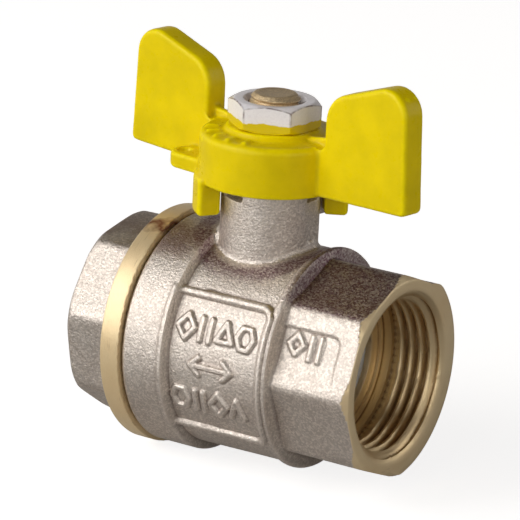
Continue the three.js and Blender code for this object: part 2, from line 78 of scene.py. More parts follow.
# ================================================================ sizes and colours a user would change
class ValveBodySizes(bpy.types.PropertyGroup):
    """Sizes of the body, its ports and its threads"""
    spanner_flats: bpy.props.FloatProperty(
        name="Spanner flats", description="Across the flats of the octagonal ends",
        default=0.031, unit="LENGTH")
    corner_softness: bpy.props.FloatProperty(
        name="Corner sharpness", description="Higher makes the octagon's corners sharper", default=44.0)
    barrel_radius: bpy.props.FloatProperty(
        name="Barrel radius", description="Round middle of the body, under its raised ribs",
        default=0.0173, unit="LENGTH")
    rib_height: bpy.props.FloatProperty(
        name="Rib height", description="How far the panel's ribs stand out", default=0.00068, unit="LENGTH")
    mark_height: bpy.props.FloatProperty(
        name="Mark height", description="How far the cast marks stand out", default=0.0005, unit="LENGTH")
    neck_radius: bpy.props.FloatProperty(
        name="Neck radius", description="Round neck that carries the stem", default=0.00785, unit="LENGTH")
    port_radius: bpy.props.FloatProperty(
        name="Port radius", description="Straight flow passage", default=0.00975, unit="LENGTH")
    thread_major: bpy.props.FloatProperty(
        name="Thread major radius", description="G 3/4 pipe thread at its roots",
        default=0.01322, unit="LENGTH")
    thread_minor: bpy.props.FloatProperty(
        name="Thread minor radius", description="G 3/4 pipe thread at its crests",
        default=0.01206, unit="LENGTH")
    thread_pitch: bpy.props.FloatProperty(
        name="Thread pitch", description="Distance from one thread to the next",
        default=0.001814, unit="LENGTH")


class ValveHandleSizes(bpy.types.PropertyGroup):
    """Sizes of the butterfly handle"""
    hub_radius: bpy.props.FloatProperty(
        name="Hub radius", description="Round middle of the handle", default=0.0116, unit="LENGTH")
    wing_thickness: bpy.props.FloatProperty(
        name="Wing thickness", description="Thickness of the two wings", default=0.0045, unit="LENGTH")
    wing_turn: bpy.props.FloatProperty(
        name="Wing turn", description="Direction of the wings from the flow axis",
        default=math.radians(-10), subtype="ANGLE")
    edge_radius: bpy.props.FloatProperty(
        name="Edge rounding", description="Rounding along the wings' edges", default=0.0007, unit="LENGTH")
    grain: bpy.props.FloatProperty(
        name="Surface step", description="Size of the facets that the painted skin is made of",
        default=0.00028, unit="LENGTH")


class ValveColours(bpy.types.PropertyGroup):
    """Base colours of the finishes"""
    nickel: bpy.props.FloatVectorProperty(
        name="Nickel", description="Plating over the forged brass",
        default=(0.60, 0.545, 0.49), subtype="COLOR")
    brass: bpy.props.FloatVectorProperty(
        name="Brass", description="Bare machined brass", default=(0.86, 0.69, 0.42), subtype="COLOR")
    paint: bpy.props.FloatVectorProperty(
        name="Paint", description="Yellow coat of the handle", default=(0.86, 0.66, 0.0), subtype="COLOR")
    zinc: bpy.props.FloatVectorProperty(
        name="Zinc", description="Plating of the nut", default=(0.97, 0.94, 0.96), subtype="COLOR")


# ================================================================ numbers on curves
def smooth_step(low, high, value):
    """0 below low, 1 above high, and the cubic 3t^2 - 2t^3 between them."""
    t = np.clip((value - low) / (high - low), 0.0, 1.0)
    return t * t * (3 - 2 * t)


def window(low, high, soft, value):
    """1 between low and high, falling smoothly to 0 over the width soft outside each."""
    return smooth_step(low - soft, low, value) * (1 - smooth_step(high, high + soft, value))


def spaced(stops, steps):
    """Numbers from the first stop to the last; between two stops they lie about one step apart."""
    parts = []
    for low, high, step in zip(stops[:-1], stops[1:], steps):
        count = max(1, round(abs(high - low) / step))
        parts.append(np.linspace(low, high, count, endpoint=False))
    parts.append(np.array([stops[-1]]))
    return np.concatenate(parts)


def ripple(angle, seed, waves=(7, 60), count=14):
    """A closed ragged line round a circle: a sum of sines with random whole wave counts and phases."""
    draw = np.random.default_rng(seed)
    total = np.zeros_like(angle)
    for _ in range(count):
        total = total + np.sin(draw.integers(*waves) * angle + draw.uniform(0, 2 * np.pi))
    return total / math.sqrt(count)


def soft_minimum(first, second, width):
    """The lesser of two values, rounded off over a width: their mean less half the root of
    difference^2 + width^2."""
    return (first + second - np.sqrt((first - second) ** 2 + width ** 2)) / 2 + width / 8


def polygon_radius(angle, flats, sides, sharpness, first_flat):
    """Radius of a polygon with soft corners: the half width over the p-norm of the cosines to its flats."""
    total = np.zeros_like(angle)
    for side in range(sides):
        cosine = np.cos(angle - first_flat - side * 2 * np.pi / sides)
        total = total + np.clip(cosine, 1e-6, None) ** sharpness
    return flats / 2 / total ** (1 / sharpness)


# ================================================================ surfaces
def closed_surface(name, points, start_pole=None, end_pole=None, wrap_rows=True):
    """A closed mesh from points[row, column]. Columns close on themselves.
    Rows close on themselves too, or run from one pole to the other.
    Faces are turned outwards by the sign of the enclosed volume."""
    rows, columns = points.shape[:2]
    last = rows if wrap_rows else rows - 1
    row, column = np.meshgrid(np.arange(last), np.arange(columns), indexing="ij")
    below = row * columns
    above = (row + 1) % rows * columns
    beside = (column + 1) % columns
    quads = np.stack([below + column, above + column, above + beside, below + beside], -1).reshape(-1, 4)
    vertices = points.reshape(-1, 3)
    ring = np.arange(columns)
    following = (ring + 1) % columns
    triangles = []
    if start_pole is not None:
        pole = np.full(columns, len(vertices))
        triangles.append(np.stack([pole, ring, following], -1))
        vertices = np.vstack([vertices, start_pole])
    if end_pole is not None:
        pole = np.full(columns, len(vertices))
        top = (rows - 1) * columns
        triangles.append(np.stack([pole, top + following, top + ring], -1))
        vertices = np.vstack([vertices, end_pole])
    caps = np.vstack(triangles) if triangles else np.zeros((0, 3), int)
    a, b, c, d = (vertices[quads[:, i]] for i in range(4))
    volume = np.sum(a * np.cross(b, c)) + np.sum(a * np.cross(c, d))
    if len(caps):
        a, b, c = (vertices[caps[:, i]] for i in range(3))
        volume += np.sum(a * np.cross(b, c))
    if volume < 0:
        quads = quads[:, ::-1]
        caps = caps[:, ::-1]
    return mesh_object(name, vertices * MM, quads, caps)


def mesh_object(name, vertices, quads, triangles):
    """A Blender object from whole arrays of vertices (metres), quads and triangles."""
    mesh = bpy.data.meshes.new(name)
    mesh.vertices.add(len(vertices))
    mesh.vertices.foreach_set("co", np.ascontiguousarray(vertices, np.float32).ravel())
    corners = np.concatenate([quads.ravel(), triangles.ravel()]).astype(np.int32)
    mesh.loops.add(len(corners))
    mesh.loops.foreach_set("vertex_index", corners)
    starts = np.concatenate([
        np.arange(len(quads)) * 4,
        len(quads) * 4 + np.arange(len(triangles)) * 3,
    ]).astype(np.int32)
    mesh.polygons.add(len(starts))
    mesh.polygons.foreach_set("loop_start", starts)
    mesh.update(calc_edges=True)
    made = bpy.data.objects.new(name, mesh)
    bpy.context.scene.collection.objects.link(made)
    return made


def turned_flow(profile, angle):
    """Points of a round form about the flow axis: (x, radius) arrays over rows and columns."""
    x, radius = profile
    x, radius, angle = np.broadcast_arrays(x, radius, angle)
    return np.stack([x, -radius * np.cos(angle), FLOW_Z + radius * np.sin(angle)], -1)


def turned_stem(radius, height, angle):
    """Points of a round form about the stem axis, heights from the flow axis."""
    radius, height, angle = np.broadcast_arrays(radius, height, angle)
    return np.stack([radius * np.cos(angle), radius * np.sin(angle), FLOW_Z + height], -1)


def cut_with(target, tool, operation):
    """Joins or cuts two closed meshes and removes the tool."""
    modifier = target.modifiers.new(operation, "BOOLEAN")
    modifier.operation = operation
    modifier.solver = "EXACT"
    modifier.object = tool
    bake_modifiers(target)
    bpy.data.objects.remove(tool)
    return target


def bake_modifiers(target):
    """Puts the result of an object's modifiers into its own mesh."""
    graph = bpy.context.evaluated_depsgraph_get()
    mesh = bpy.data.meshes.new_from_object(target.evaluated_get(graph))
    old = target.data
    target.modifiers.clear()
    target.data = mesh
    mesh.name = target.name
    bpy.data.meshes.remove(old)


def smooth_shaded(target, sharp_angle=35):
    """Smooth shading, with edges sharper than the angle (degrees) kept crisp."""
    target.data.shade_smooth()
    target.data.set_sharp_from_angle(angle=math.radians(sharp_angle))


def vertex_array(target):
    """The vertices of an object as an array in millimetres."""
    flat = np.empty(len(target.data.vertices) * 3, np.float32)
    target.data.vertices.foreach_get("co", flat)
    return flat.reshape(-1, 3).astype(float) / MM


def paint_attribute(target, name, values):
    """Stores one number per vertex for the material."""
    layer = target.data.attributes.new(name, "FLOAT", "POINT")
    layer.data.foreach_set("value", np.asarray(values, np.float32))


def finish_piece(target, body, slot, material, *nodes):
    """Gives a piece its material and its body, and hides the CAD nodes that it stands for. The slot is not
    used.
    """
    target.data.materials.clear()
    target.data.materials.append(material)
    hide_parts(*nodes)
    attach(target, body)


# ================================================================ valve body
# Places along the flow axis are measured from the stem axis.
BAND_EDGE_X = -7.1  # where the wide band drops to the barrel
BAND_FOOT_X = -6.5
BAND_BEAD_INSET = 0.35  # the bead on the band's edge beside the panel
BAND_BEAD_HALF_WIDTH = 0.5
BAND_BEAD_HEIGHT = 0.22
RIM_X = 10.95  # middle of the barrel's right rim
RIM_HALF_WIDTH = 0.85
RIM_HEIGHT = 0.55
RIM_FOOT_X = 12.0  # where the rim's side face reaches the octagon
OCTAGON_X = 12.5
RIB_X = 10.1  # panel's right rib
RIB_TOP = 38.0  # panel's top and bottom ribs, degrees above and below the horizontal
RIB_BOTTOM = -36.5
RIB_HALF_WIDTH = 0.72
PANEL_LEFT_X = -14.0  # the panel's frame runs on under the band
PANEL_CORNER = 1.9
PANEL_RADIUS = 17.9  # radius at which heights on the panel are measured
KNOB_RADIUS = 1.0  # small knob where the right rib meets the bottom rib
KNOB_HEIGHT = 0.25
MARK_TOP = 0.26  # half width of a cast mark at its flat top
MARK_FOOT = 0.62  # half width of a cast mark at its foot
PAD_LOW = (4.0, -9.0)  # corners of the sunk pad on the outlet's upper front flat
PAD_HIGH = (22.3, 3.5)
PAD_CORNER = 1.7
PAD_DEPTH = 0.38
PAD_MARK_HEIGHT = 0.4
ROUND_SIDE = (137.0, 262.0)  # degrees round the flow axis where the outlet is round
ROUND_SIDE_RADIUS = 16.9
BEVEL_START = 0.12  # the outlet's bevel is a cone that meets the mouth this far outside the flats
BEVEL_SLOPE = 1.15
BEVEL_FAR = 1.3  # how much wider the cone is on the round side
SLOT_BEVEL = 0.5
BODY_EDGE_X = BODY_LEFT_X - 0.6  # left end of the body, close to the collar
SPIGOT_RADIUS = 16.7
CAVITY_RADIUS = BALL_RADIUS + 0.6
SEAT_POCKET_RADIUS = 12.6
SEAT_POCKET_X = 13.2
SOCKET_DEPTH = 10.6
COUNTERSINK = 0.35
COUNTERSINK_REACH = 1.9  # how far outside the thread's crests the countersink starts
COUNTERSINK_NARROWING = 0.7
LEAD_IN_REACH = 1.2  # the lead-in cone that cuts the first thread away
LEAD_IN_SLOPE = 0.9
BURR_HEIGHT = 0.26
CHATTER_DEPTH = 0.05  # fine marks that the tool left beyond the thread
CHATTER_MARKS = 150
JOINT_BORE_X = -9.6  # where the chamber widens for the connector's spigot
JOINT_CLEARANCE = 0.3


def stroke_distance(across, along, lines):
    """Distance from each point to the nearest of many straight strokes ((x0, y0), (x1, y1))."""
    nearest = np.full(np.broadcast(across, along).shape, 1e3)
    for (x0, y0), (x1, y1) in lines:
        length = (x1 - x0) ** 2 + (y1 - y0) ** 2 or 1e-9
        t = np.clip(((across - x0) * (x1 - x0) + (along - y0) * (y1 - y0)) / length, 0, 1)
        nearest = np.minimum(nearest, np.hypot(across - x0 - t * (x1 - x0), along - y0 - t * (y1 - y0)))
    return nearest


def closed_mark(centre, radius, corners, turn=0.0, stretch=1.25):
    """The sides of a small upright polygon."""
    angles = turn + np.arange(corners + 1) * 2 * np.pi / corners
    points = [(centre[0] + radius * math.cos(a), centre[1] + stretch * radius * math.sin(a)) for a in angles]
    return list(zip(points[:-1], points[1:]))


def bars(centre, height, pitch, count):
    """Upright bars side by side."""
    first = centre[0] - pitch * (count - 1) / 2
    return [((first + i * pitch, centre[1] - height / 2), (first + i * pitch, centre[1] + height / 2))
            for i in range(count)]


def panel_marks():
    """Cast marks of the front panel: plain figures in three rows, and a flow arrow with two heads."""
    lines = closed_mark((-4.0, 6.4), 1.55, 4)
    lines += bars((-0.5, 6.4), 3.5, 1.7, 2)
    lines += closed_mark((3.1, 6.2), 1.6, 3, math.pi / 2)
    lines += closed_mark((6.8, 6.4), 1.5, 6)
    lines += [((-2.0, 0.6), (4.6, 0.6))]
    for tip, way in ((-2.4, 1), (5.0, -1)):
        lines += [((tip, 0.6), (tip + way * 1.5, 2.0)), ((tip, 0.6), (tip + way * 1.5, -0.8))]
    lines += closed_mark((-4.4, -5.4), 1.5, 6)
    lines += bars((-0.9, -5.4), 3.3, 1.5, 2)
    lines += closed_mark((2.6, -5.4), 1.5, 4)
    lines += [((4.8, -6.9), (6.0, -3.9)), ((6.0, -3.9), (7.2, -6.9))]
    return lines


def flat_marks():
    """Cast marks of the spanner flat: a diamond and a bar."""
    lines = closed_mark((14.6, 0.9), 1.3, 4)
    lines += bars((18.0, 0.7), 3.6, 1.6, 2)
    return lines


def rounded_frame(across, along, low, high, corner):
    """Signed distance to a rectangle with rounded corners, negative inside."""
    middle = [(low[i] + high[i]) / 2 for i in range(2)]
    half = [(high[i] - low[i]) / 2 - corner for i in range(2)]
    dx = np.abs(across - middle[0]) - half[0]
    dy = np.abs(along - middle[1]) - half[1]
    return np.hypot(np.maximum(dx, 0), np.maximum(dy, 0)) + np.minimum(np.maximum(dx, dy), 0) - corner


def bead(distance, half_width, height):
    """A round bead: height times the square root of 1 - (distance / half width) squared."""
    return height * np.sqrt(np.clip(1 - (distance / half_width) ** 2, 0, None))


def barrel_radius(x, sizes):
    """The body's round middle without ribs: band, step, barrel and rim, along the flow axis."""
    barrel = sizes.barrel_radius / MM + 0.15 * (1 - smooth_step(-6, 8, x))
    radius = barrel + (BAND_RADIUS - barrel) * (1 - smooth_step(BAND_EDGE_X, BAND_FOOT_X, x))
    return radius + bead(np.abs(x - RIM_X + 0.1), RIM_HALF_WIDTH, RIM_HEIGHT)


def front_angle(angle):
    """Angle from the horizontal of the nearer side face, front or back, in degrees."""
    degrees = np.degrees(np.arctan2(np.sin(angle), np.cos(angle)))
    return np.where(np.abs(degrees) <= 90, degrees, np.sign(degrees) * (180 - np.abs(degrees)))


def body_outer(x, angle, sizes):
    """Radius of the body's outside at x and angle: band, barrel with framed panels, rim, octagon and marks.
    angle is 0 on the front side, and a quarter turn at the top."""
    radius = barrel_radius(x, sizes)
    side_angle = front_angle(angle)
    along = np.radians(side_angle) * radius
    rib = sizes.rib_height / MM
    top = math.radians(RIB_TOP) * PANEL_RADIUS
    bottom = math.radians(RIB_BOTTOM) * PANEL_RADIUS
    frame_distance = rounded_frame(x, along, (PANEL_LEFT_X, bottom), (RIB_X, top), PANEL_CORNER)
    on_barrel = smooth_step(BAND_EDGE_X, BAND_FOOT_X, x)
    radius = radius + bead(np.abs(frame_distance), RIB_HALF_WIDTH, rib) * on_barrel * (x < RIM_X)
    edge_bead = bead(np.abs(x - BAND_EDGE_X + BAND_BEAD_INSET), BAND_BEAD_HALF_WIDTH, BAND_BEAD_HEIGHT)
    radius = radius + edge_bead * window(RIB_BOTTOM, RIB_TOP, 2.5, side_angle)
    knob = np.hypot(x - RIB_X + 0.1, along - bottom - 0.2)
    radius = radius + bead(knob, KNOB_RADIUS, KNOB_HEIGHT)
    front = np.cos(angle) > 0
    strokes = stroke_distance(x, along, panel_marks())
    marks = (1 - smooth_step(MARK_TOP, MARK_FOOT, strokes)) * sizes.mark_height / MM
    radius = radius + np.where(front & (x < RIB_X), marks, 0)
    octagon = outlet_octagon(x, angle, sizes)
    side = smooth_step(RIM_X + 0.35, RIM_FOOT_X, x)
    radius = np.maximum(octagon, radius * (1 - side) + octagon * side)
    return radius - SLOT_BEVEL * np.clip((BODY_EDGE_X + SLOT_BEVEL - x) / SLOT_BEVEL, 0, 1)


def outlet_octagon(x, angle, sizes):
    """The outlet's octagon, with a round far side, a sunk pad and its marks in the upper front flat."""
    flats = sizes.spanner_flats / MM
    octagon = polygon_radius(angle, flats, 8, sizes.corner_softness, math.pi / 8)
    round_start, round_end = np.radians(ROUND_SIDE)
    round_side = window(round_start, round_end, math.radians(14), angle % (2 * np.pi))
    octagon = octagon + (ROUND_SIDE_RADIUS - octagon) * round_side * smooth_step(OCTAGON_X, 20, x)
    along = flats / 2 * np.tan(np.clip(angle - math.pi / 8, -1.2, 1.2))
    on_flat = np.abs(angle - math.pi / 8) < 1.0
    pad = rounded_frame(x, along, PAD_LOW, PAD_HIGH, PAD_CORNER)
    inside = 1 - smooth_step(-0.45, 0.1, pad)
    inside = inside * smooth_step(-6.0, -1.0, along) * on_flat
    strokes = stroke_distance(x, along, flat_marks())
    marks = (1 - smooth_step(MARK_TOP, MARK_FOOT, strokes)) * on_flat
    return octagon - PAD_DEPTH * inside + marks * PAD_MARK_HEIGHT * (x > OCTAGON_X)


def thread_radius(distance, angle, sizes, turns=4.2):
    """Inside radius of a pipe thread at a distance from its mouth.
    The phase is distance over pitch plus the angle over a full turn; crests and roots are flattened."""
    pitch = sizes.thread_pitch / MM
    major = sizes.thread_major / MM
    minor = sizes.thread_minor / MM
    phase = (distance / pitch + angle / (2 * np.pi)) % 1.0
    wave = np.abs(phase * 2 - 1)
    flattened = 0.12
    depth = smooth_step(flattened, 1 - flattened, wave)
    radius = minor + (major - minor) * depth
    thread_end = turns * pitch
    end = smooth_step(thread_end, thread_end + 0.8, distance)
    shoulder = 0.75 * smooth_step(thread_end + 1.3, thread_end + 1.5, distance)
    chatter = CHATTER_DEPTH * np.sign(np.sin(CHATTER_MARKS * angle))
    chatter = chatter * window(thread_end + 0.5, thread_end + 1.2, 0.1, distance)
    return radius * (1 - end) + (major + 0.1 - shoulder + chatter) * end


def mouth_rows(sizes, angle, ragged_seed):
    """The rows of a threaded mouth, as (distance from the mouth, radius) arrays running inwards."""
    pitch = sizes.thread_pitch / MM
    major = sizes.thread_major / MM
    port = sizes.port_radius / MM
    depth = spaced((0.0, COUNTERSINK, 5.3 * pitch, SOCKET_DEPTH), (0.19, pitch / 11, 0.25))[:, None]
    burr = np.clip(ripple(angle, ragged_seed, (20, 90)) - 0.9, 0, None) * BURR_HEIGHT
    burr = burr * window(-math.pi * 0.98, -math.pi * 0.35, 0.6, np.arctan2(np.sin(angle), np.cos(angle)))
    minor = sizes.thread_minor / MM
    cone = minor + COUNTERSINK_REACH - COUNTERSINK_NARROWING * np.clip(depth / COUNTERSINK, 0, 1)
    lead_in = minor + LEAD_IN_REACH - LEAD_IN_SLOPE * (depth - COUNTERSINK)
    thread = thread_radius(depth - COUNTERSINK + 0.35, angle, sizes)
    radius = np.where(depth < COUNTERSINK, cone, np.maximum(thread, lead_in))
    radius = radius - burr * window(0.25, 0.5, 0.2, depth)
    rows = [(depth + 0 * angle, radius)]
    for step_depth, step_radius in (
        (SOCKET_DEPTH + 0.02, major - 0.9),
        (SOCKET_DEPTH + 0.02, port + 2.0),
        (SOCKET_DEPTH + 0.45, port + 1.9),
        (SOCKET_DEPTH + 0.4, port + 0.9),
        (SOCKET_DEPTH + 0.6, port + 0.1),
        (SOCKET_DEPTH + 0.8, port),
    ):
        rows.append((np.full((1, angle.size), step_depth), np.full((1, angle.size), step_radius)))
    return np.vstack([r[0] for r in rows]), np.vstack([r[1] for r in rows])


def body_angles():
    """Angles round the flow axis, closer together over the front panel and its marks."""
    start = RIB_BOTTOM - 2.5
    degrees = spaced((start, RIB_TOP + 4.0, 100.0, 150.0, start + 360.0), (0.62, 1.25, 1.6, 1.65))
    return np.radians(degrees[:-1])[None, :]


def outlet_bevel(x, flats):
    """Radius of the cone that bevels the outlet's corners."""
    return flats / 2 + BEVEL_START + (OUTLET_X - x) * BEVEL_SLOPE


def make_body_shell(sizes):
    """The valve body as one surface: its outside from the joint to the mouth, then mouth, thread, port,
    seat pocket and chamber."""
    angle = body_angles()
    flats = sizes.spanner_flats / MM
    x = spaced(
        (BODY_EDGE_X, BODY_EDGE_X + 1.0, BAND_EDGE_X - 0.9, RIM_FOOT_X + 0.2, 22.8, OUTLET_X - 0.05),
        (0.2, 0.6, 0.17, 0.27, 0.2),
    )[:, None]
    outer = body_outer(x, angle, sizes)
    round_start, round_end = np.radians(ROUND_SIDE)
    far = window(round_start - math.radians(3), round_end, 0.25, angle % (2 * np.pi))
    cone = outlet_bevel(x, flats) + far * BEVEL_FAR + 0.03 * ripple(angle, 5)
    outer = np.minimum(outer, cone)
    rows_x = [x + 0 * angle]
    rows_r = [outer]
    face_outer = outer[-1:] - 0.06
    mouth_depth, mouth_radius = mouth_rows(sizes, angle, 3)
    for share in (0.0, 0.33, 0.66):
        rows_x.append(np.full((1, angle.size), OUTLET_X))
        rows_r.append(face_outer * (1 - share) + mouth_radius[:1] * share)
    rows_x.append(OUTLET_X - mouth_depth)
    rows_r.append(mouth_radius)
    stop = math.acos(SEAT_POCKET_RADIUS / CAVITY_RADIUS)
    arc = np.linspace(stop, 0, 12)
    inner = [(SEAT_POCKET_X + 0.02, sizes.port_radius / MM), (SEAT_POCKET_X, SEAT_POCKET_RADIUS)]
    inner += [(CAVITY_RADIUS * math.sin(a), CAVITY_RADIUS * math.cos(a)) for a in arc]
    inner += [(JOINT_BORE_X, CAVITY_RADIUS), (JOINT_BORE_X, SPIGOT_RADIUS + JOINT_CLEARANCE),
              (BODY_EDGE_X, SPIGOT_RADIUS + JOINT_CLEARANCE)]
    for inner_x, inner_radius in inner:
        rows_x.append(np.full((1, angle.size), inner_x))
        rows_r.append(np.full((1, angle.size), inner_radius))
    points = turned_flow((np.vstack(rows_x), np.vstack(rows_r)), angle)
    return closed_surface("valve_body_shell", points)


NECK_FLARE = 0.85  # fillet at the neck's foot
NECK_BOTTOM = 14.8  # the neck's solid starts inside the barrel
NECK_FACET = 7.55  # distance of the scaly facet on the outlet side from the stem axis
NECK_FACET_TURN = 3.0
NOTCH_ARCS = ((237, 266), (352, 361), (-1, 17))  # degrees round the stem axis
NOTCH_START = 25.2
NOTCH_DEPTH = 1.3
LUG_ARC = (52.5, 117.5)
LUG_HEIGHTS = (21.4, 26.3)
LUG_REACH = 2.55
STEM_HOLE = 4.15  # radii of the stepped hole for the stem
FLANGE_HOLE = 6.1
FLANGE_HOLE_TOP = 18.15
STEM_HOLE_BOTTOM = 10.0


def make_neck(sizes):
    """The neck: its foot follows the barrel's height with a quarter-round fillet, and the stop lug
    stands at its back."""
    angle = np.radians(np.arange(0, 360, 1.5))[None, :]
    neck = sizes.neck_radius / MM
    reach = neck + NECK_FLARE
    foot_x = reach * np.cos(angle)
    foot_y = reach * np.sin(angle)
    barrel = barrel_radius(foot_x, sizes)
    foot_height = np.sqrt(barrel ** 2 - foot_y ** 2)
    quarter = np.linspace(0, 1, 10)[:, None]
    fillet = NECK_FLARE * (1 - np.sqrt(np.clip(1 - (1 - quarter) ** 2, 0, None)))
    ragged = 0.11 * ripple(angle, 11, (8, 80), 20) * (1 - quarter) * window(0.05, 0.4, 0.2, quarter)
    fillet_rows = neck + fillet + ragged
    fillet_heights = foot_height + quarter * 1.1 - 0.1
    upper = np.linspace(0, 1, 34)[1:, None]
    upper_heights = fillet_heights[-1:] * (1 - upper) + (NECK_TOP - 0.35) * upper
    upper_rows = neck + 0 * upper_heights
    turn = np.degrees(angle) % 360
    lug = window(*LUG_ARC, 2.5, turn) * window(*LUG_HEIGHTS, 0.45, upper_heights)
    scaly = 0.05 * ripple(7 * angle + 3 * upper_heights, 31, (3, 9), 6)
    facet = (NECK_FACET + scaly) / np.clip(np.cos(angle - math.radians(NECK_FACET_TURN)), 0.2, None)
    upper_rows = np.minimum(upper_rows, facet)
    notches = np.clip(sum(window(start, end, 2, turn) for start, end in NOTCH_ARCS), 0, 1)
    in_notch = notches * smooth_step(NOTCH_START, NOTCH_START + 0.5, upper_heights)
    upper_rows = upper_rows - NOTCH_DEPTH * in_notch + LUG_REACH * lug
    top_rows = [(neck - 0.35, NECK_TOP), (neck * 0.5, NECK_TOP)]
    heights = [foot_height - 1.6, fillet_heights, upper_heights]
    radii = [np.full_like(angle, reach - 0.5), fillet_rows, upper_rows]
    for radius, height in top_rows:
        heights.append(np.full_like(angle, height))
        radii.append(np.full_like(angle, radius))
    radii.insert(0, np.full_like(angle, neck * 0.5))
    heights.insert(0, np.full_like(angle, NECK_BOTTOM))
    points = turned_stem(np.vstack(radii), np.vstack(heights), angle)
    foot = (0, 0, FLOW_Z + NECK_BOTTOM)
    return closed_surface("valve_neck", points, foot, (0, 0, FLOW_Z + NECK_TOP), False)


def make_stem_bore():
    """The stepped hole for the stem, as a solid to cut with."""
    angle = np.radians(np.arange(0, 360, 5.0))[None, :]
    profile = np.array([
        (FLANGE_HOLE, STEM_HOLE_BOTTOM),
        (FLANGE_HOLE, FLANGE_HOLE_TOP),
        (STEM_HOLE, FLANGE_HOLE_TOP),
        (STEM_HOLE, NECK_TOP + 1),
    ])
    points = turned_stem(profile[:, :1], profile[:, 1:], angle)
    foot = (0, 0, FLOW_Z + STEM_HOLE_BOTTOM)
    return closed_surface("stem_bore", points, foot, (0, 0, FLOW_Z + NECK_TOP + 1), False)


BARREL_TOP = 17.3
# strengths of the dark reflection painted on the upper flats, round the neck and beside the joint
FULL_DARK_REFLECTION = 0.95
JOINT_DARK_REFLECTION = 0.45


def dark_reflection_mask(vertices):
    """1 where a dark reflection is painted on the plating: the steep flats beside the top corner, round the
    neck's foot, and more faintly on the upper barrel beside the joint.
    """
    up = vertices[:, 2] - FLOW_Z
    angle = np.degrees(np.arctan2(up, np.abs(vertices[:, 1])))
    on_flat = window(47.0, 88.0, 3.0, angle) * smooth_step(RIM_X - 1.0, RIM_FOOT_X, vertices[:, 0])
    from_stem = np.hypot(vertices[:, 0], vertices[:, 1])
    round_neck = window(9.5, 11.0, 1.3, from_stem) * smooth_step(46.0, 60.0, angle)
    at_neck = round_neck * (up < BARREL_TOP + 1.6)
    near_joint = window(PANEL_LEFT_X, -9.0, 2.0, vertices[:, 0]) * window(60.0, 74.0, 6.0, angle)
    at_joint = JOINT_DARK_REFLECTION * near_joint * (from_stem > 8.7)
    return np.clip(on_flat * FULL_DARK_REFLECTION + at_neck * FULL_DARK_REFLECTION + at_joint, 0, 1)


# ================================================================ end connector
SEAL_GROOVE_X = (-11.15, -13.0)
SEAL_GROOVE_DEPTH = 1.3
SPIGOT_END_X = -9.9
COLLAR_RIGHT_X = -15.0
COLLAR_LEFT_X = -18.5
TOOL_MARK_DEPTH = 0.012
INLET_TURN = math.radians(12)  # the inlet's octagon is turned against the outlet's


def make_connector_shell(sizes):
    """The inlet end: screwed spigot, brass collar, octagon, thread, port and seat pocket."""
    angle = np.radians(np.arange(0, 360, 1.2))[None, :]
    ones = np.ones_like(angle)
    collar_ragged = 0.11 * np.clip(ripple(angle, 21, (15, 110), 20), -0.5, 3)
    groove_start, groove_end = SEAL_GROOVE_X
    outer = [
        (SPIGOT_END_X, SPIGOT_RADIUS - 0.4),
        (SPIGOT_END_X - 0.4, SPIGOT_RADIUS),
        (groove_start, SPIGOT_RADIUS),
        (groove_start, SPIGOT_RADIUS - SEAL_GROOVE_DEPTH),
        (groove_end, SPIGOT_RADIUS - SEAL_GROOVE_DEPTH),
        (groove_end, SPIGOT_RADIUS),
        (COLLAR_RIGHT_X + 0.05, SPIGOT_RADIUS),
    ]
    rows_x = [np.full_like(angle, row[0]) for row in outer]
    rows_r = [np.full_like(angle, row[1]) for row in outer]
    for inset, drop, ragged in ((0.0, 0.35, 0.3), (0.02, 0.08, 1.0), (0.2, 0.0, 0.8)):
        rows_x.append(COLLAR_RIGHT_X - inset + collar_ragged * ragged)
        rows_r.append((COLLAR_RADIUS - drop) * ones)
    for x in np.linspace(COLLAR_RIGHT_X - 0.5, COLLAR_LEFT_X + 0.3, 12):
        rows_x.append(x * ones)
        rows_r.append((COLLAR_RADIUS - TOOL_MARK_DEPTH * (1 + math.sin(x * 23))) * ones)
    flats = sizes.spanner_flats / MM
    sharpness = sizes.corner_softness * 1.3
    octagon = polygon_radius(angle, flats, 8, sharpness, math.pi / 8 + INLET_TURN)
    for inset, drop in ((0.14, 0.1), (0.05, 0.35)):
        rows_x.append((COLLAR_LEFT_X + inset) * ones)
        rows_r.append((COLLAR_RADIUS - drop) * ones)
    for x in (COLLAR_LEFT_X, COLLAR_LEFT_X - 0.1, COLLAR_LEFT_X - 0.3):
        rows_x.append(x * ones)
        rows_r.append(octagon + (18.6 - octagon) * max(0.0, (x + 18.6) / 0.4))
    for x in spaced((COLLAR_LEFT_X - 0.7, INLET_X + 3.2, INLET_X), (0.6, 0.12)):
        rounding = 0.6 - math.sqrt(max(0.0, 0.36 - max(0.0, INLET_X + 0.6 - x) ** 2))
        cone = flats / 2 + 0.25 + (x - INLET_X) * 0.8
        rows_x.append(x * ones)
        rows_r.append(soft_minimum(octagon, cone, 0.22) - rounding)
    mouth_depth, mouth_radius = mouth_rows(sizes, -angle, 9)
    for share in (0.35, 0.7):
        rows_x.append(INLET_X * ones)
        rows_r.append(rows_r[-1] * (1 - share) + mouth_radius[:1] * share)
    rows_x.append(INLET_X + mouth_depth)
    rows_r.append(mouth_radius)
    for x, radius in (
        (-SEAT_POCKET_X, sizes.port_radius / MM),
        (-SEAT_POCKET_X, SEAT_POCKET_RADIUS),
        (SPIGOT_END_X, SEAT_POCKET_RADIUS),
        (SPIGOT_END_X, SPIGOT_RADIUS - 0.8),
    ):
        rows_x.append(x * ones)
        rows_r.append(radius * ones)
    points = turned_flow((np.vstack(rows_x), np.vstack(rows_r)), angle)
    return closed_surface("inlet_end_connector", points)


# ================================================================ ball, seats, seals and stem
def revolved_ring(name, profile, about_flow, step=3.0):
    """A closed ring: a closed outline of (place along the axis, radius) pairs turned about an axis."""
    angle = np.radians(np.arange(0, 360, step))[None, :]
    outline = np.array(profile, float)
    if about_flow:
        points = turned_flow((outline[:, :1], outline[:, 1:]), angle)
    else:
        points = turned_stem(outline[:, 1:], outline[:, :1], angle)
    return closed_surface(name, points)


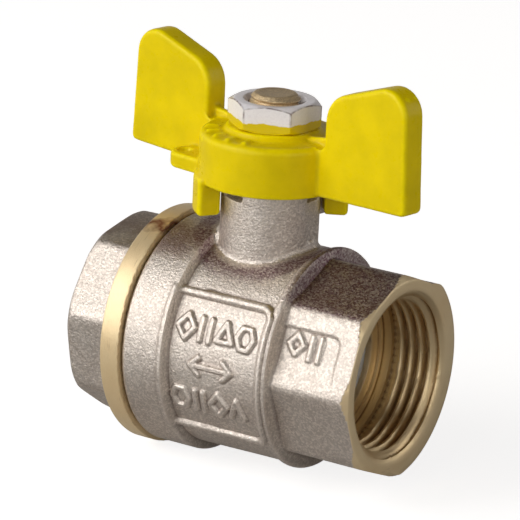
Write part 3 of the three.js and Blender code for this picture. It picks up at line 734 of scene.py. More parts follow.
def circle_outline(place, radius, thickness, count=20):
    """A circular section: centre at (place, radius), and its thickness."""
    turn = np.linspace(0, 2 * np.pi, count, endpoint=False)
    return np.stack([place + thickness / 2 * np.cos(turn), radius + thickness / 2 * np.sin(turn)], -1)


SLOT_HALF_WIDTH = 2.25
SLOT_HALF_LENGTH = 13.0
SLOT_DEPTH = 3.1
SEAT_CLEARANCE = 0.15
SEAT_RADIUS = 12.5
SEAT_BACK_X = 13.1
STEM_RADIUS = 4.0
STEM_GROOVE_RADIUS = 2.8
STEM_FLANGE_RADIUS = 5.8
TONGUE_BOTTOM = 12.0
TONGUE_HALF = (2.1, 4.8)
STEM_FLAT = 3.0  # distance of the driving flats from the stem axis
STEM_PITCH = 1.25
LOWER_SEAL_Z = 20.4
UPPER_SEAL_Z = 24.2


def make_ball(sizes):
    """A sphere with a straight bore with rounded edges, and a slot across its top for the stem's tongue."""
    port = sizes.port_radius / MM
    soft = 0.4
    edge = math.asin((port + soft) / BALL_RADIUS)
    turn = np.linspace(edge, math.pi - edge, 80)
    sphere = np.stack([BALL_RADIUS * np.cos(turn), BALL_RADIUS * np.sin(turn)], -1)
    mouth = BALL_RADIUS * math.cos(edge)
    bore = np.array([(-mouth + 0.25, port + 0.1), (-mouth + 0.6, port), (0, port),
                     (mouth - 0.6, port), (mouth - 0.25, port + 0.1)])
    ball = revolved_ring("ball", np.vstack([sphere, bore]), True, 2.0)
    slot_turn = np.linspace(0, 2 * np.pi, 48, endpoint=False)[None, :]
    across = SLOT_HALF_WIDTH * np.cos(slot_turn)
    end = np.where(np.sin(slot_turn) > 0, 1, -1)
    length = end * SLOT_HALF_LENGTH + SLOT_HALF_WIDTH * np.sin(slot_turn)
    low = BALL_RADIUS - SLOT_DEPTH
    high = BALL_RADIUS + 1.0
    heights = np.array([[low], [high]])
    points = np.stack([across + 0 * heights, length + 0 * heights, FLOW_Z + heights + 0 * across], -1)
    slot = closed_surface("ball_slot", points, (0, 0, FLOW_Z + low), (0, 0, FLOW_Z + high), False)
    return cut_with(ball, slot, "DIFFERENCE")


def make_seat(name, side, sizes):
    """A seat ring whose inner face follows the ball."""
    inner = sizes.port_radius / MM + 0.1
    face = BALL_RADIUS + SEAT_CLEARANCE
    edge = 0.2
    radii = np.linspace(inner, SEAT_RADIUS - 0.3, 14)
    profile = [(side * math.sqrt(face ** 2 - r ** 2), r) for r in radii]
    profile += [
        (side * (profile[-1][0] * side + 0.25), SEAT_RADIUS),
        (side * (SEAT_BACK_X - edge), SEAT_RADIUS),
        (side * SEAT_BACK_X, SEAT_RADIUS - edge),
        (side * SEAT_BACK_X, inner + edge),
        (side * (SEAT_BACK_X - edge), inner),
    ]
    return revolved_ring(name, profile, True)


def make_stem():
    """The stem: tongue, flange, two seal grooves, two driving flats and a threaded end with a bevel.
    Its radius is a function of height and angle."""
    angle = np.radians(np.arange(0, 360, 3.0))[None, :]
    cosine = np.clip(np.abs(np.cos(angle)), 0.01, None)
    sine = np.clip(np.abs(np.sin(angle)), 0.01, None)
    tongue = np.minimum(TONGUE_HALF[0] / cosine, TONGUE_HALF[1] / sine)
    rows = [(TONGUE_BOTTOM, tongue * 0.97), (TONGUE_BOTTOM + 0.15, tongue), (15.55, tongue)]
    for height, radius in (
        (15.6, STEM_FLANGE_RADIUS - 0.3), (15.8, STEM_FLANGE_RADIUS),
        (16.9, STEM_FLANGE_RADIUS), (17.1, STEM_FLANGE_RADIUS - 0.2),
        (17.12, STEM_RADIUS), (19.45, STEM_RADIUS),
        (19.5, STEM_GROOVE_RADIUS), (21.3, STEM_GROOVE_RADIUS),
        (21.35, STEM_RADIUS), (23.25, STEM_RADIUS),
        (23.3, STEM_GROOVE_RADIUS), (25.1, STEM_GROOVE_RADIUS),
        (25.15, STEM_RADIUS), (30.6, STEM_RADIUS),
    ):
        rows.append((height, np.full_like(angle, radius)))
    flat = np.minimum(STEM_RADIUS, STEM_FLAT / sine)
    rows += [(30.7, flat), (NUT_SEAT - 0.1, flat)]
    for height in np.arange(NUT_SEAT, STEM_TOP - 0.02, 0.1):
        phase = (height / STEM_PITCH + angle / (2 * np.pi)) % 1.0
        groove = 0.5 * smooth_step(0.1, 0.9, np.abs(phase * 2 - 1))
        bevel = max(0.0, height - (STEM_TOP - 0.75))
        rows.append((height, np.minimum(STEM_RADIUS - groove, STEM_RADIUS - bevel)))
    for drop, radius in ((0.0, 3.2), (0.0, 2.6), (0.05, 2.4), (0.02, 1.2)):
        rows.append((STEM_TOP - drop, np.full_like(angle, radius)))
    heights = np.array([height for height, _ in rows])[:, None]
    radii = np.vstack([radius for _, radius in rows])
    points = turned_stem(radii, heights, angle)
    top = (0, 0, FLOW_Z + STEM_TOP - 0.04)
    return closed_surface("stem", points, (0, 0, FLOW_Z + TONGUE_BOTTOM), top, False)


# ================================================================ handle
# Outlines hold (reach, height or side, corner radius) of each corner.
WING_FOOT = 27.3
WING_TOP = 43.3
WING_INNER = 12.4
WING_OUTER = 29.2
WING_SLOPE = 0.265  # rise of the wings' top edge towards their ends
WING_ROOT = 4.0  # how close to the stem axis the wings reach inside the hub
WING_SHOULDER = 35.0
RIB_OUTLINE = (
    (6.0, 34.0, 0.2), (13.5, 34.0, 0.2), (13.5, 37.8, 0.4), (12.0, 36.6, 0.5), (6.0, 35.7, 0.2))
RIB_HALF = 0.65
TAB_INNER = 8.5
TAB_OUTER = 12.3
TAB_FOOT = 21.9  # height of the stop tabs' lower end
TAB_HALF = 3.2
TABS = ((0.0, 39.0, 10.5), (math.pi, 43.0, 13.5))  # half turn, middle and half span in degrees
EAR_OUTLINE = ((9.0, 1.8, 0.3), (9.0, 7.6, 0.3), (16.5, 7.6, 2.8), (16.5, 1.8, 2.6))
EAR_MIDDLE = 28.6
EAR_HALF = 1.3
EAR_HOLE = (14.3, 5.0)  # reach along the wing and distance beside it
EAR_HOLE_RADIUS = 1.25
TICK_OUTLINE = ((8.6, -0.45, 0.12), (10.7, -0.35, 0.12), (10.7, 0.45, 0.12), (8.6, 0.35, 0.12))
TICK_COUNT = 5
TICK_START = 208.0  # degrees round the stem axis
TICK_STEP = 17.0
TICK_HALF = 0.5
HUB_HOLLOW_RADIUS = 9.4
HUB_HOLLOW_TOP = 31.0
DRIVE_CLEARANCE = 0.1


def rounded_outline(corners, step=0.35):
    """A closed outline through corners (x, y, radius), each rounded by an arc tangent to its sides."""
    points = []
    count = len(corners)
    for i in range(count):
        here = np.array(corners[i][:2], float)
        before = np.array(corners[i - 1][:2], float) - here
        after = np.array(corners[(i + 1) % count][:2], float) - here
        before /= np.linalg.norm(before)
        after /= np.linalg.norm(after)
        radius = corners[i][2]
        half = math.acos(float(np.clip(before @ after, -1, 1))) / 2
        reach = radius / math.tan(half)
        bisector = (before + after) / np.linalg.norm(before + after)
        centre = here + bisector * radius / math.sin(half)
        start = here + before * reach - centre
        end = here + after * reach - centre
        sweep = math.pi - 2 * half
        steps = max(3, round(radius * sweep / step))
        share = np.linspace(0, 1, steps + 1)[:, None]
        arc = (start * np.sin((1 - share) * sweep) + end * np.sin(share * sweep)) / math.sin(sweep)
        points.append(centre + arc)
    corners_joined = np.vstack(points)
    following = np.roll(corners_joined, -1, axis=0)
    lengths = np.linalg.norm(following - corners_joined, axis=1)
    dense = []
    for start, end, length in zip(corners_joined, following, lengths):
        pieces = max(1, round(length / (step * 2)))
        share = np.linspace(0, 1, pieces, endpoint=False)[:, None]
        dense.append(start * (1 - share) + end * share)
    return np.vstack(dense)


def slab(name, outline, half_thickness, edge, place):
    """A flat plate with rounded edges: the outline moves inwards by edge * (1 - cos) while it rises
    by edge * sin. place turns (across, up, through) arrays into points."""
    following = np.roll(outline, -1, axis=0) - np.roll(outline, 1, axis=0)
    normal = np.stack([following[:, 1], -following[:, 0]], -1)
    normal /= np.linalg.norm(normal, axis=1)[:, None]
    area = np.sum(outline[:, 0] * np.roll(outline[:, 1], -1) - np.roll(outline[:, 0], -1) * outline[:, 1])
    normal *= np.sign(area)
    turn = np.linspace(0, np.pi / 2, 5)
    inset = np.concatenate([edge * (1 - np.sin(turn)), edge * (1 - np.cos(turn))])
    through = np.concatenate([-half_thickness + edge * (1 - np.cos(turn)),
                              half_thickness - edge * (1 - np.sin(turn))])
    rows = outline[None] - normal[None] * inset[:, None, None]
    middle = outline.mean(axis=0)
    rim = [middle + (rows[0] - middle) * share for share in (0.35, 0.8)]
    rim_end = [middle + (rows[-1] - middle) * share for share in (0.8, 0.35)]
    flat = np.concatenate([np.array(rim), rows, np.array(rim_end)])
    depth = np.concatenate([[-half_thickness] * 2, through, [half_thickness] * 2])[:, None]
    points = place(flat[..., 0], flat[..., 1], depth + 0 * flat[..., 0])
    first = place(middle[:1], middle[1:], np.array([-half_thickness]))[0]
    last = place(middle[:1], middle[1:], np.array([half_thickness]))[0]
    return closed_surface(name, points, first, last, False)


def wing_outline():
    """One wing from the side: reach from the stem axis against height from the flow axis."""
    top_outer = WING_TOP + (WING_OUTER - 1.0 - WING_INNER) * WING_SLOPE
    return rounded_outline([
        (WING_ROOT, WING_FOOT - 0.25, 0.3),
        (WING_OUTER, WING_FOOT + 0.65, 0.9),
        (WING_OUTER - 1.0, top_outer + 1.2, 4.2),
        (WING_INNER, WING_TOP, 4.8),
        (WING_INNER, WING_SHOULDER, 0.3),
        (WING_ROOT, WING_SHOULDER, 0.3),
    ])


def sector_outline(inner, outer, span, step=0.35):
    """A piece of a ring with slightly rounded corners, its middle on the X axis.
    span is in degrees each way."""
    half = math.radians(span)
    arcs = ((outer, np.linspace(-half, half, 7), 0.5), (inner, np.linspace(half, -half, 5), 0.3))
    corners = []
    for radius, turns, corner in arcs:
        for turn in turns:
            rounding = corner if abs(turn) > half * 0.99 else 0.05
            corners.append((radius * math.cos(turn), radius * math.sin(turn), rounding))
    return rounded_outline(corners, step)


def lying_plate(name, outline, half_thickness, edge, turn, middle):
    """A plate that lies flat, turned about the stem axis, with its middle at a height."""
    def place(across, along, through):
        x = across * math.cos(turn) - along * math.sin(turn)
        y = across * math.sin(turn) + along * math.cos(turn)
        return np.stack([x, y, FLOW_Z + middle + through], -1)
    return slab(name, outline, half_thickness, edge, place)


def standing_plate(name, outline, half_thickness, edge, turn):
    """A plate that stands along a direction from the stem axis."""
    def place(reach, height, through):
        x = reach * math.cos(turn) - through * math.sin(turn)
        y = reach * math.sin(turn) + through * math.cos(turn)
        return np.stack([x, y, FLOW_Z + height], -1)
    return slab(name, outline, half_thickness, edge, place)


def make_handle(sizes):
    """The painted handle: hub, wings, ears, stop tabs, ribs and ticks as closed solids, joined by a
    fine remesh, with a hole through each ear."""
    half = sizes.wing_thickness / MM / 2
    edge = sizes.edge_radius / MM
    solids = [make_hub(sizes)]
    additions = []
    for half_turn, tab_middle, tab_span in TABS:
        wing_turn = sizes.wing_turn + half_turn
        solids.append(standing_plate("wing", wing_outline(), half, edge, wing_turn))
        rib = rounded_outline(RIB_OUTLINE)
        additions.append(standing_plate("wing_rib", rib, RIB_HALF, 0.2, wing_turn))
        tab = sector_outline(TAB_INNER, TAB_OUTER, tab_span)
        tab_turn = math.radians(tab_middle) + half_turn
        solids.append(lying_plate("stop_tab", tab, TAB_HALF, 0.7, tab_turn, TAB_FOOT + TAB_HALF))
        ear = rounded_outline(EAR_OUTLINE)
        solids.append(lying_plate("sealing_ear", ear, EAR_HALF, 0.45, wing_turn + math.pi, EAR_MIDDLE))
    tick = rounded_outline(TICK_OUTLINE, 0.2)
    for index in range(TICK_COUNT):
        tick_turn = math.radians(TICK_START + index * TICK_STEP)
        additions.append(lying_plate("hub_tick", tick, TICK_HALF, 0.12, tick_turn, HUB_TOP + 0.04))
    handle = joined(solids + additions, "handle")
    remesh = handle.modifiers.new("skin", "REMESH")
    remesh.mode = "VOXEL"
    remesh.voxel_size = sizes.grain
    soften = handle.modifiers.new("soften", "SMOOTH")
    soften.factor = 0.5
    soften.iterations = 3
    bake_modifiers(handle)
    for half_turn, _, _ in TABS:
        cut_with(handle, make_ear_hole(sizes.wing_turn + half_turn + math.pi), "DIFFERENCE")
    return handle


def make_ear_hole(turn):
    """A round bar through a sealing ear, to cut with."""
    angle = np.radians(np.arange(0, 360, 10.0))[None, :]
    low = EAR_MIDDLE - 2.6
    high = EAR_MIDDLE + 2.9
    reach, side = EAR_HOLE
    x = reach * math.cos(turn) - side * math.sin(turn)
    y = reach * math.sin(turn) + side * math.cos(turn)
    points = turned_stem(EAR_HOLE_RADIUS, np.array([[low], [high]]), angle) + np.array([x, y, 0])
    return closed_surface("ear_hole", points, (x, y, FLOW_Z + low), (x, y, FLOW_Z + high), False)


def make_hub(sizes):
    """The hub: outside, top with its nut seat, drive hole with two flats, and the hollow underneath."""
    angle = np.radians(np.arange(0, 360, 2.5))[None, :]
    hub = sizes.hub_radius / MM
    outline = [
        (HUB_HOLLOW_RADIUS, HUB_BOTTOM),
        (hub - 0.5, HUB_BOTTOM),
        (hub - 0.1, HUB_BOTTOM + 0.25),
        (hub, HUB_BOTTOM + 0.7),
        (hub, HUB_HOLLOW_TOP),
        (hub, HUB_TOP - 0.9),
        (hub - 0.15, HUB_TOP - 0.4),
        (hub - 0.6, HUB_TOP - 0.05),
        (hub - 1.2, HUB_TOP),
        (8.1, HUB_TOP + 0.05),
        (7.7, HUB_TOP + 0.4),
        (7.4, NUT_SEAT - 0.05),
    ]
    radii = [np.full_like(angle, radius) for radius, _ in outline]
    heights = [height for _, height in outline]
    sine = np.clip(np.abs(np.sin(angle)), 0.01, None)
    hole = np.minimum(STEM_RADIUS + DRIVE_CLEARANCE, (STEM_FLAT + DRIVE_CLEARANCE) / sine)
    radii += [hole, hole, np.full_like(angle, HUB_HOLLOW_RADIUS)]
    heights += [NUT_SEAT - 0.05, HUB_HOLLOW_TOP, HUB_HOLLOW_TOP]
    points = turned_stem(np.vstack(radii), np.array(heights)[:, None], angle)
    return closed_surface("hub", points)


def joined(parts, name):
    """Several objects as one mesh."""
    vertices = []
    faces = []
    start = 0
    for part in parts:
        vertices.append(vertex_array(part) * MM)
        faces += [[start + v for v in polygon.vertices] for polygon in part.data.polygons]
        start += len(part.data.vertices)
    mesh = bpy.data.meshes.new(name)
    mesh.from_pydata(np.vstack(vertices), [], faces)
    for part in parts:
        bpy.data.objects.remove(part)
    made = bpy.data.objects.new(name, mesh)
    bpy.context.scene.collection.objects.link(made)
    return made


NUT_FLATS = 13.0
NUT_SHARPNESS = 260
NUT_TURN = math.radians(52)  # direction of one flat
NUT_CHAMFER_START = 6.35  # radius of the top chamfer's cone at the nut's top
NUT_CHAMFER_SLOPE = 1.75
NUT_FOOT_START = 6.75
NUT_FOOT_SLOPE = 1.9


def nut_hexagon(angle):
    """Radius of the nut's hexagon."""
    return polygon_radius(angle, NUT_FLATS, 6, NUT_SHARPNESS, NUT_TURN)


def make_nut():
    """A hexagon nut: the radius is the lesser of the hexagon and a cone at each end, with a threaded hole."""
    angle = np.radians(np.arange(0, 360, 1.0))[None, :]
    height = NUT_TOP - NUT_SEAT
    hexagon = nut_hexagon(angle)
    rows_r = []
    rows_z = []
    rise = spaced((0.0, 0.9, height - 1.0, height - 0.02), (0.12, 0.5, 0.07))
    for up in rise:
        cone_low = NUT_FOOT_START + up * NUT_FOOT_SLOPE
        cone_high = NUT_CHAMFER_START + (height - up) * NUT_CHAMFER_SLOPE
        rows_r.append(np.minimum(hexagon, min(cone_low, cone_high)))
        rows_z.append(up)
    for radius, drop in ((6.15, 0.0), (5.4, 0.0), (5.05, 0.03), (4.75, 0.3), (4.3, 0.75)):
        rows_r.append(np.full_like(angle, radius))
        rows_z.append(height - drop)
    for up in spaced((height - 0.9, 0.5), (0.14,)):
        phase = (up / STEM_PITCH + angle / (2 * np.pi)) % 1.0
        rows_r.append(4.1 + 0.25 * smooth_step(0.1, 0.9, np.abs(phase * 2 - 1)))
        rows_z.append(up)
    rows_r.append(np.full_like(angle, 4.7))
    rows_z.append(0.0)
    points = turned_stem(np.vstack(rows_r), NUT_SEAT + np.array(rows_z)[:, None], angle)
    return closed_surface("handle_nut", points)


def nut_edge_lines(vertices):
    """1 along the edge between the top chamfer and the flats, and along the corners, fading within 0.1 mm:
    where thin dark reflections are painted.
    """
    angle = np.arctan2(vertices[:, 1], vertices[:, 0])
    radius = np.hypot(vertices[:, 0], vertices[:, 1])
    below_top = NUT_TOP - (vertices[:, 2] - FLOW_Z)
    hexagon = nut_hexagon(angle)
    chamfer = NUT_CHAMFER_START + below_top * NUT_CHAMFER_SLOPE
    on_side = (radius > 6.3) & (below_top < 4.0)
    chamfer_line = np.exp(-((hexagon - chamfer) / 0.16) ** 2) * on_side
    from_corner = np.abs((np.degrees(angle - NUT_TURN) + 60) % 60 - 30)
    corner_line = (from_corner < 1.1) * (hexagon < chamfer + 0.1) * on_side * 0.8
    return np.clip(chamfer_line + corner_line, 0, 1)


# ================================================================ node groups
def wire(tree, kind, inputs=None, **settings):
    """Adds a node, sets its options, and links or sets its inputs."""
    made = tree.nodes.new(kind)
    for key, value in settings.items():
        setattr(made, key, value)
    for key, value in (inputs or {}).items():
        if isinstance(value, bpy.types.NodeSocket):
            tree.links.new(value, made.inputs[key])
        else:
            made.inputs[key].default_value = value
    return made


def maths(tree, operation, a, b=0.0, c=0.0, clamp=False):
    """One arithmetic step; returns its output."""
    return wire(tree, "ShaderNodeMath", {0: a, 1: b, 2: c}, operation=operation, use_clamp=clamp).outputs[0]


def remap(tree, value, low, high, out_low=0.0, out_high=1.0):
    """A clamped linear change of range; returns its output."""
    return wire(tree, "ShaderNodeMapRange", {
        "Value": value, "From Min": low, "From Max": high, "To Min": out_low, "To Max": out_high,
    }).outputs["Result"]


def blend_colour(tree, factor, first, second, blend="MIX"):
    """A mix of two colours; returns its output."""
    made = wire(tree, "ShaderNodeMix", data_type="RGBA", blend_type=blend)
    for index, value in ((0, factor), (6, first), (7, second)):
        if isinstance(value, bpy.types.NodeSocket):
            tree.links.new(value, made.inputs[index])
        else:
            made.inputs[index].default_value = (*value, 1.0) if index and len(value) == 3 else value
    return made.outputs[2]


def new_group(name, inputs, outputs):
    """A node group with named number inputs and named outputs, and its entrance and exit nodes."""
    tree = bpy.data.node_groups.new(name, "ShaderNodeTree")
    for label, default in inputs:
        entry = tree.interface.new_socket(label, in_out="INPUT", socket_type="NodeSocketFloat")
        entry.default_value = default
    for label in outputs:
        tree.interface.new_socket(label, in_out="OUTPUT", socket_type="NodeSocketFloat")
    return tree, tree.nodes.new("NodeGroupInput"), tree.nodes.new("NodeGroupOutput")


def object_place(tree):
    """The place of a point in its object."""
    return wire(tree, "ShaderNodeTexCoord").outputs["Object"]


def attribute(tree, name):
    """A number painted on the vertices."""
    return wire(tree, "ShaderNodeAttribute", attribute_name=name).outputs["Fac"]


def tinted(tree, mask, strength, colour, tint):
    """The colour with a tint laid over it where the mask is 1, at a strength."""
    return blend_colour(tree, maths(tree, "MULTIPLY", mask, strength), colour, tint)


def scaled(colour, *shares):
    """A colour with red, green and blue each multiplied by a share, at most 1."""
    return tuple(min(1.0, part * share) for part, share in zip(colour, shares))


def noise(tree, vector, scale, detail=3.0, roughness=0.55):
    """A noise texture's value; scale is per metre."""
    return wire(tree, "ShaderNodeTexNoise", {
        "Vector": vector, "Scale": scale, "Detail": detail, "Roughness": roughness,
    }).outputs["Fac"]


GRAIN_FINE = 3200.0  # cells per metre
GRAIN_COARSE = 900.0
GRAIN_CELLS = 4200.0
PATCH_SCALE = 140.0


def build_forged_grain():
    """Cast grain: a fine and a coarse noise for height, wide patches, and a random value per tiny cell."""
    tree, entry, leave = new_group("forged_grain", [("Size", 1.0)], ["Height", "Patches", "Specks"])
    size = entry.outputs["Size"]
    place = object_place(tree)
    fine = noise(tree, place, maths(tree, "DIVIDE", GRAIN_FINE, size), 4.0, 0.6)
    coarse = noise(tree, place, maths(tree, "DIVIDE", GRAIN_COARSE, size), 3.0)
    scale = maths(tree, "DIVIDE", GRAIN_CELLS, size)
    cells = wire(tree, "ShaderNodeTexVoronoi", {"Vector": place, "Scale": scale})
    random_value = wire(tree, "ShaderNodeSeparateColor", {0: cells.outputs["Color"]}).outputs[0]
    patches = noise(tree, place, PATCH_SCALE, 4.0)
    tree.links.new(maths(tree, "MULTIPLY_ADD", coarse, 0.6, fine), leave.inputs["Height"])
    tree.links.new(remap(tree, patches, 0.35, 0.68), leave.inputs["Patches"])
    tree.links.new(random_value, leave.inputs["Specks"])


def build_edge_highlight_and_hollow_shade():
    """Where a surface bends outwards (edges) or inwards (hollows), broken up by a noise: masks for painted
    highlights on edges and painted shade in hollows.
    """
    tree, entry, leave = new_group("edge_highlight_and_hollow_shade", [("Low", 0.513), ("High", 0.55)], ["Edges", "Hollows"])
    sharpness = wire(tree, "ShaderNodeNewGeometry").outputs["Pointiness"]
    place = object_place(tree)
    break_up = 0.02
    broken = maths(tree, "MULTIPLY_ADD", noise(tree, place, 1500.0), break_up, sharpness)
    broken = maths(tree, "SUBTRACT", broken, break_up / 2)
    tree.links.new(remap(tree, broken, entry.outputs["Low"], entry.outputs["High"]), leave.inputs["Edges"])
    tree.links.new(remap(tree, broken, 0.487, 0.455), leave.inputs["Hollows"])


def build_turning_lines():
    """Tool marks round the flow axis: a noise over the place along the axis plus the distance from it."""
    tree, entry, leave = new_group("turning_lines", [("Fineness", 1.0)], ["Height", "Scratches", "Stain"])
    place = object_place(tree)
    parts = wire(tree, "ShaderNodeSeparateXYZ", {0: place})
    up = maths(tree, "SUBTRACT", parts.outputs["Z"], FLOW_Z * MM)
    across_squared = maths(tree, "MULTIPLY", parts.outputs["Y"], parts.outputs["Y"])
    from_axis = maths(tree, "SQRT", maths(tree, "MULTIPLY_ADD", up, up, across_squared))
    line = maths(tree, "ADD", parts.outputs["X"], from_axis)
    turn = maths(tree, "MULTIPLY", maths(tree, "ARCTAN2", up, parts.outputs["Y"]), 0.0012)
    grooves = wire(tree, "ShaderNodeCombineXYZ", {"X": line, "Y": turn}).outputs[0]
    rings = noise(tree, grooves, maths(tree, "MULTIPLY", 7000.0, entry.outputs["Fineness"]), 3.0, 0.7)
    tree.links.new(rings, leave.inputs["Height"])
    tree.links.new(remap(tree, noise(tree, grooves, 2600.0, 2.0), 0.66, 0.74), leave.inputs["Scratches"])
    tree.links.new(remap(tree, noise(tree, place, 90.0, 3.0), 0.4, 0.7), leave.inputs["Stain"])


def build_heat_tint():
    """A stained patch on the upper front beside the screwed joint, between two heights from the
    flow axis."""
    tree, entry, leave = new_group("heat_tint", [("Low", 0.0160), ("High", 0.0178)], ["Mask"])
    place = object_place(tree)
    parts = wire(tree, "ShaderNodeSeparateXYZ", {0: place})
    waver = 0.004
    soft = 0.0009
    uneven = maths(tree, "MULTIPLY_ADD", noise(tree, place, 260.0, 3.0), waver, parts.outputs["Z"])
    above = maths(tree, "SUBTRACT", uneven, FLOW_Z * MM + waver / 2)
    rise = remap(tree, maths(tree, "SUBTRACT", above, entry.outputs["Low"]), 0.0, soft)
    fall = remap(tree, maths(tree, "SUBTRACT", above, entry.outputs["High"]), soft, 0.0)
    near_joint = remap(tree, parts.outputs["X"], -0.0065, -0.0105)
    front = remap(tree, parts.outputs["Y"], 0.004, -0.003)
    place_mask = maths(tree, "MULTIPLY", near_joint, front)
    height_mask = maths(tree, "MULTIPLY", rise, fall)
    tree.links.new(maths(tree, "MULTIPLY", place_mask, height_mask), leave.inputs["Mask"])


def build_settled_dust():
    """Small dark motes, more of them on surfaces that face upwards."""
    tree, entry, leave = new_group("settled_dust", [("Amount", 1.0)], ["Mask"])
    place = object_place(tree)
    normal = wire(tree, "ShaderNodeNewGeometry").outputs["Normal"]
    facing = wire(tree, "ShaderNodeSeparateXYZ", {0: normal})
    upward = remap(tree, facing.outputs["Z"], -0.4, 1.0)
    motes = remap(tree, noise(tree, place, 2300.0, 2.0), 0.66, 0.72)
    settled = maths(tree, "MULTIPLY", upward, motes)
    tree.links.new(maths(tree, "MULTIPLY", settled, entry.outputs["Amount"]), leave.inputs["Mask"])


def build_groups():
    """The effects that several materials share."""
    build_forged_grain()
    build_edge_highlight_and_hollow_shade()
    build_turning_lines()
    build_heat_tint()
    build_settled_dust()


def use_group(tree, name, **values):
    """A shared effect placed in a material with its own values."""
    made = tree.nodes.new("ShaderNodeGroup")
    made.node_tree = bpy.data.node_groups[name]
    for label, value in values.items():
        made.inputs[label].default_value = value
    return made.outputs


def new_material(name):
    """An empty material with a Principled shader; returns the material, its tree and the shader."""
    material = bpy.data.materials.new(name)
    material.use_nodes = True
    return material, material.node_tree, material.node_tree.nodes["Principled BSDF"]


def bump(tree, shader, height, strength, distance):
    """Feeds a height into the shader's normal; distance is in metres."""
    made = wire(tree, "ShaderNodeBump", {"Height": height, "Strength": strength, "Distance": distance})
    tree.links.new(made.outputs["Normal"], shader.inputs["Normal"])


# the two hollow colours darken creases: partly dirt, partly painted shade
HOLLOW_DIRT_AND_SHADE = (0.16, 0.11, 0.09)
DUST_BROWN = (0.12, 0.08, 0.07)
HEAT_BROWN = (0.26, 0.15, 0.12)
DARK_REFLECTION_BROWN = (0.165, 0.080, 0.105)
BURNT_BRASS = (0.20, 0.06, 0.035)
HOLLOW_BRASS_DIRT_AND_SHADE = (0.26, 0.13, 0.04)
WORN_BRASS = (0.50, 0.36, 0.22)
CHROME = (0.72, 0.75, 0.80)
DULL_CHROME = (0.62, 0.66, 0.72)
POLYMER = (0.86, 0.84, 0.80)
DULL_POLYMER = (0.78, 0.77, 0.74)
RUBBER = (0.018, 0.018, 0.02)
DUSTY_RUBBER = (0.035, 0.034, 0.033)
PAINT_DUST = (0.2, 0.17, 0.02)
NUT_EDGE_REFLECTION = (0.16, 0.10, 0.10)
PAINT_LINE = 1.95  # how far the handle's paint climbs up the nut


def plated_brass(colours):
    """Satin nickel over forged brass, with bare machined brass where the attribute machined is 1."""
    material, tree, shader = new_material("nickel_plated_forging")
    grain = use_group(tree, "forged_grain", Size=1.15)
    relief_shading = use_group(tree, "edge_highlight_and_hollow_shade")
    lines = use_group(tree, "turning_lines", Fineness=1.0)
    dust = use_group(tree, "settled_dust", Amount=0.7)
    machined = attribute(tree, "machined")
    dark_reflection = attribute(tree, "dark_reflection")
    nickel = tuple(colours.nickel)
    warm = scaled(nickel, 0.80, 0.70, 0.66)
    # pale nickel: colour of the painted glints and painted edge highlights
    pale = scaled(nickel, 1.45, 1.45, 1.45)
    # pale specks, one per grain cell, painted as glints
    painted_glint = remap(tree, grain["Specks"], 0.35, 0.95, 0.0, 0.75)
    tint = use_group(tree, "heat_tint", Low=0.0145, High=0.0175)
    dark_speck = remap(tree, grain["Specks"], 0.15, 0.9, 0.95, 0.45)
    plate = tinted(tree, grain["Patches"], 0.35, nickel, warm)
    plate = blend_colour(tree, painted_glint, plate, pale)
    # painted highlight: edges of the plating made paler
    plate = tinted(tree, relief_shading["Edges"], 0.75, plate, pale)
    # hollows round the marks and ribs darkened: dirt and painted shade
    plate = tinted(tree, relief_shading["Hollows"], 0.55, plate, HOLLOW_DIRT_AND_SHADE)
    plate = tinted(tree, dust["Mask"], 0.35, plate, DUST_BROWN)
    plate = tinted(tree, tint["Mask"], 0.5, plate, HEAT_BROWN)
    # painted dark reflection on the upper flats, round the neck and beside the joint, broken into specks
    plate = tinted(tree, dark_reflection, dark_speck, plate, DARK_REFLECTION_BROWN)
    burnt = use_group(tree, "heat_tint", Low=0.0168, High=0.0178)
    brass = machined_brass_colour(tree, colours, lines)
    brass = tinted(tree, burnt["Mask"], 0.95, brass, BURNT_BRASS)
    # hollows of the bare brass darkened: dirt and painted shade
    brass = tinted(tree, relief_shading["Hollows"], 0.7, brass, HOLLOW_BRASS_DIRT_AND_SHADE)
    colour = blend_colour(tree, machined, plate, brass)
    tree.links.new(colour, shader.inputs["Base Color"])
    plate_rough = remap(tree, grain["Height"], 0.5, 1.0, 0.38, 0.54)
    brass_rough = remap(tree, lines["Height"], 0.2, 0.8, 0.30, 0.46)
    rough = wire(tree, "ShaderNodeMix", {0: machined, 2: plate_rough, 3: brass_rough}).outputs[0]
    tree.links.new(rough, shader.inputs["Roughness"])
    matte = attribute(tree, "matte")
    tree.links.new(remap(tree, matte, 0.0, 1.0, 1.0, 0.52), shader.inputs["Metallic"])
    machined_height = maths(tree, "MULTIPLY", lines["Height"], 0.35)
    height = wire(tree, "ShaderNodeMix", {0: machined, 2: grain["Height"], 3: machined_height}).outputs[0]
    bump(tree, shader, height, 0.75, 0.00018)
    return material


def machined_brass_colour(tree, colours, lines):
    """Bare brass with brown scratches and a darker stain in places; returns its colour output."""
    brass = tuple(colours.brass)
    brown = scaled(brass, 0.42, 0.32, 0.25)
    stained = scaled(brass, 0.86, 0.72, 0.55)
    made = tinted(tree, lines["Stain"], 0.35, brass, stained)
    return tinted(tree, lines["Scratches"], 0.5, made, brown)


def bare_brass(colours):
    """Turned brass with concentric tool lines."""
    material, tree, shader = new_material("turned_brass")
    lines = use_group(tree, "turning_lines", Fineness=0.8)
    grain = use_group(tree, "forged_grain", Size=0.8)
    worn = remap(tree, grain["Specks"], 0.2, 0.9, 0.1, 0.6)
    colour = blend_colour(tree, worn, machined_brass_colour(tree, colours, lines), WORN_BRASS)
    tree.links.new(colour, shader.inputs["Base Color"])
    tree.links.new(remap(tree, lines["Height"], 0.2, 0.8, 0.34, 0.52), shader.inputs["Roughness"])
    shader.inputs["Metallic"].default_value = 0.8
    bump(tree, shader, grain["Height"], 0.7, 0.00018)
    return material


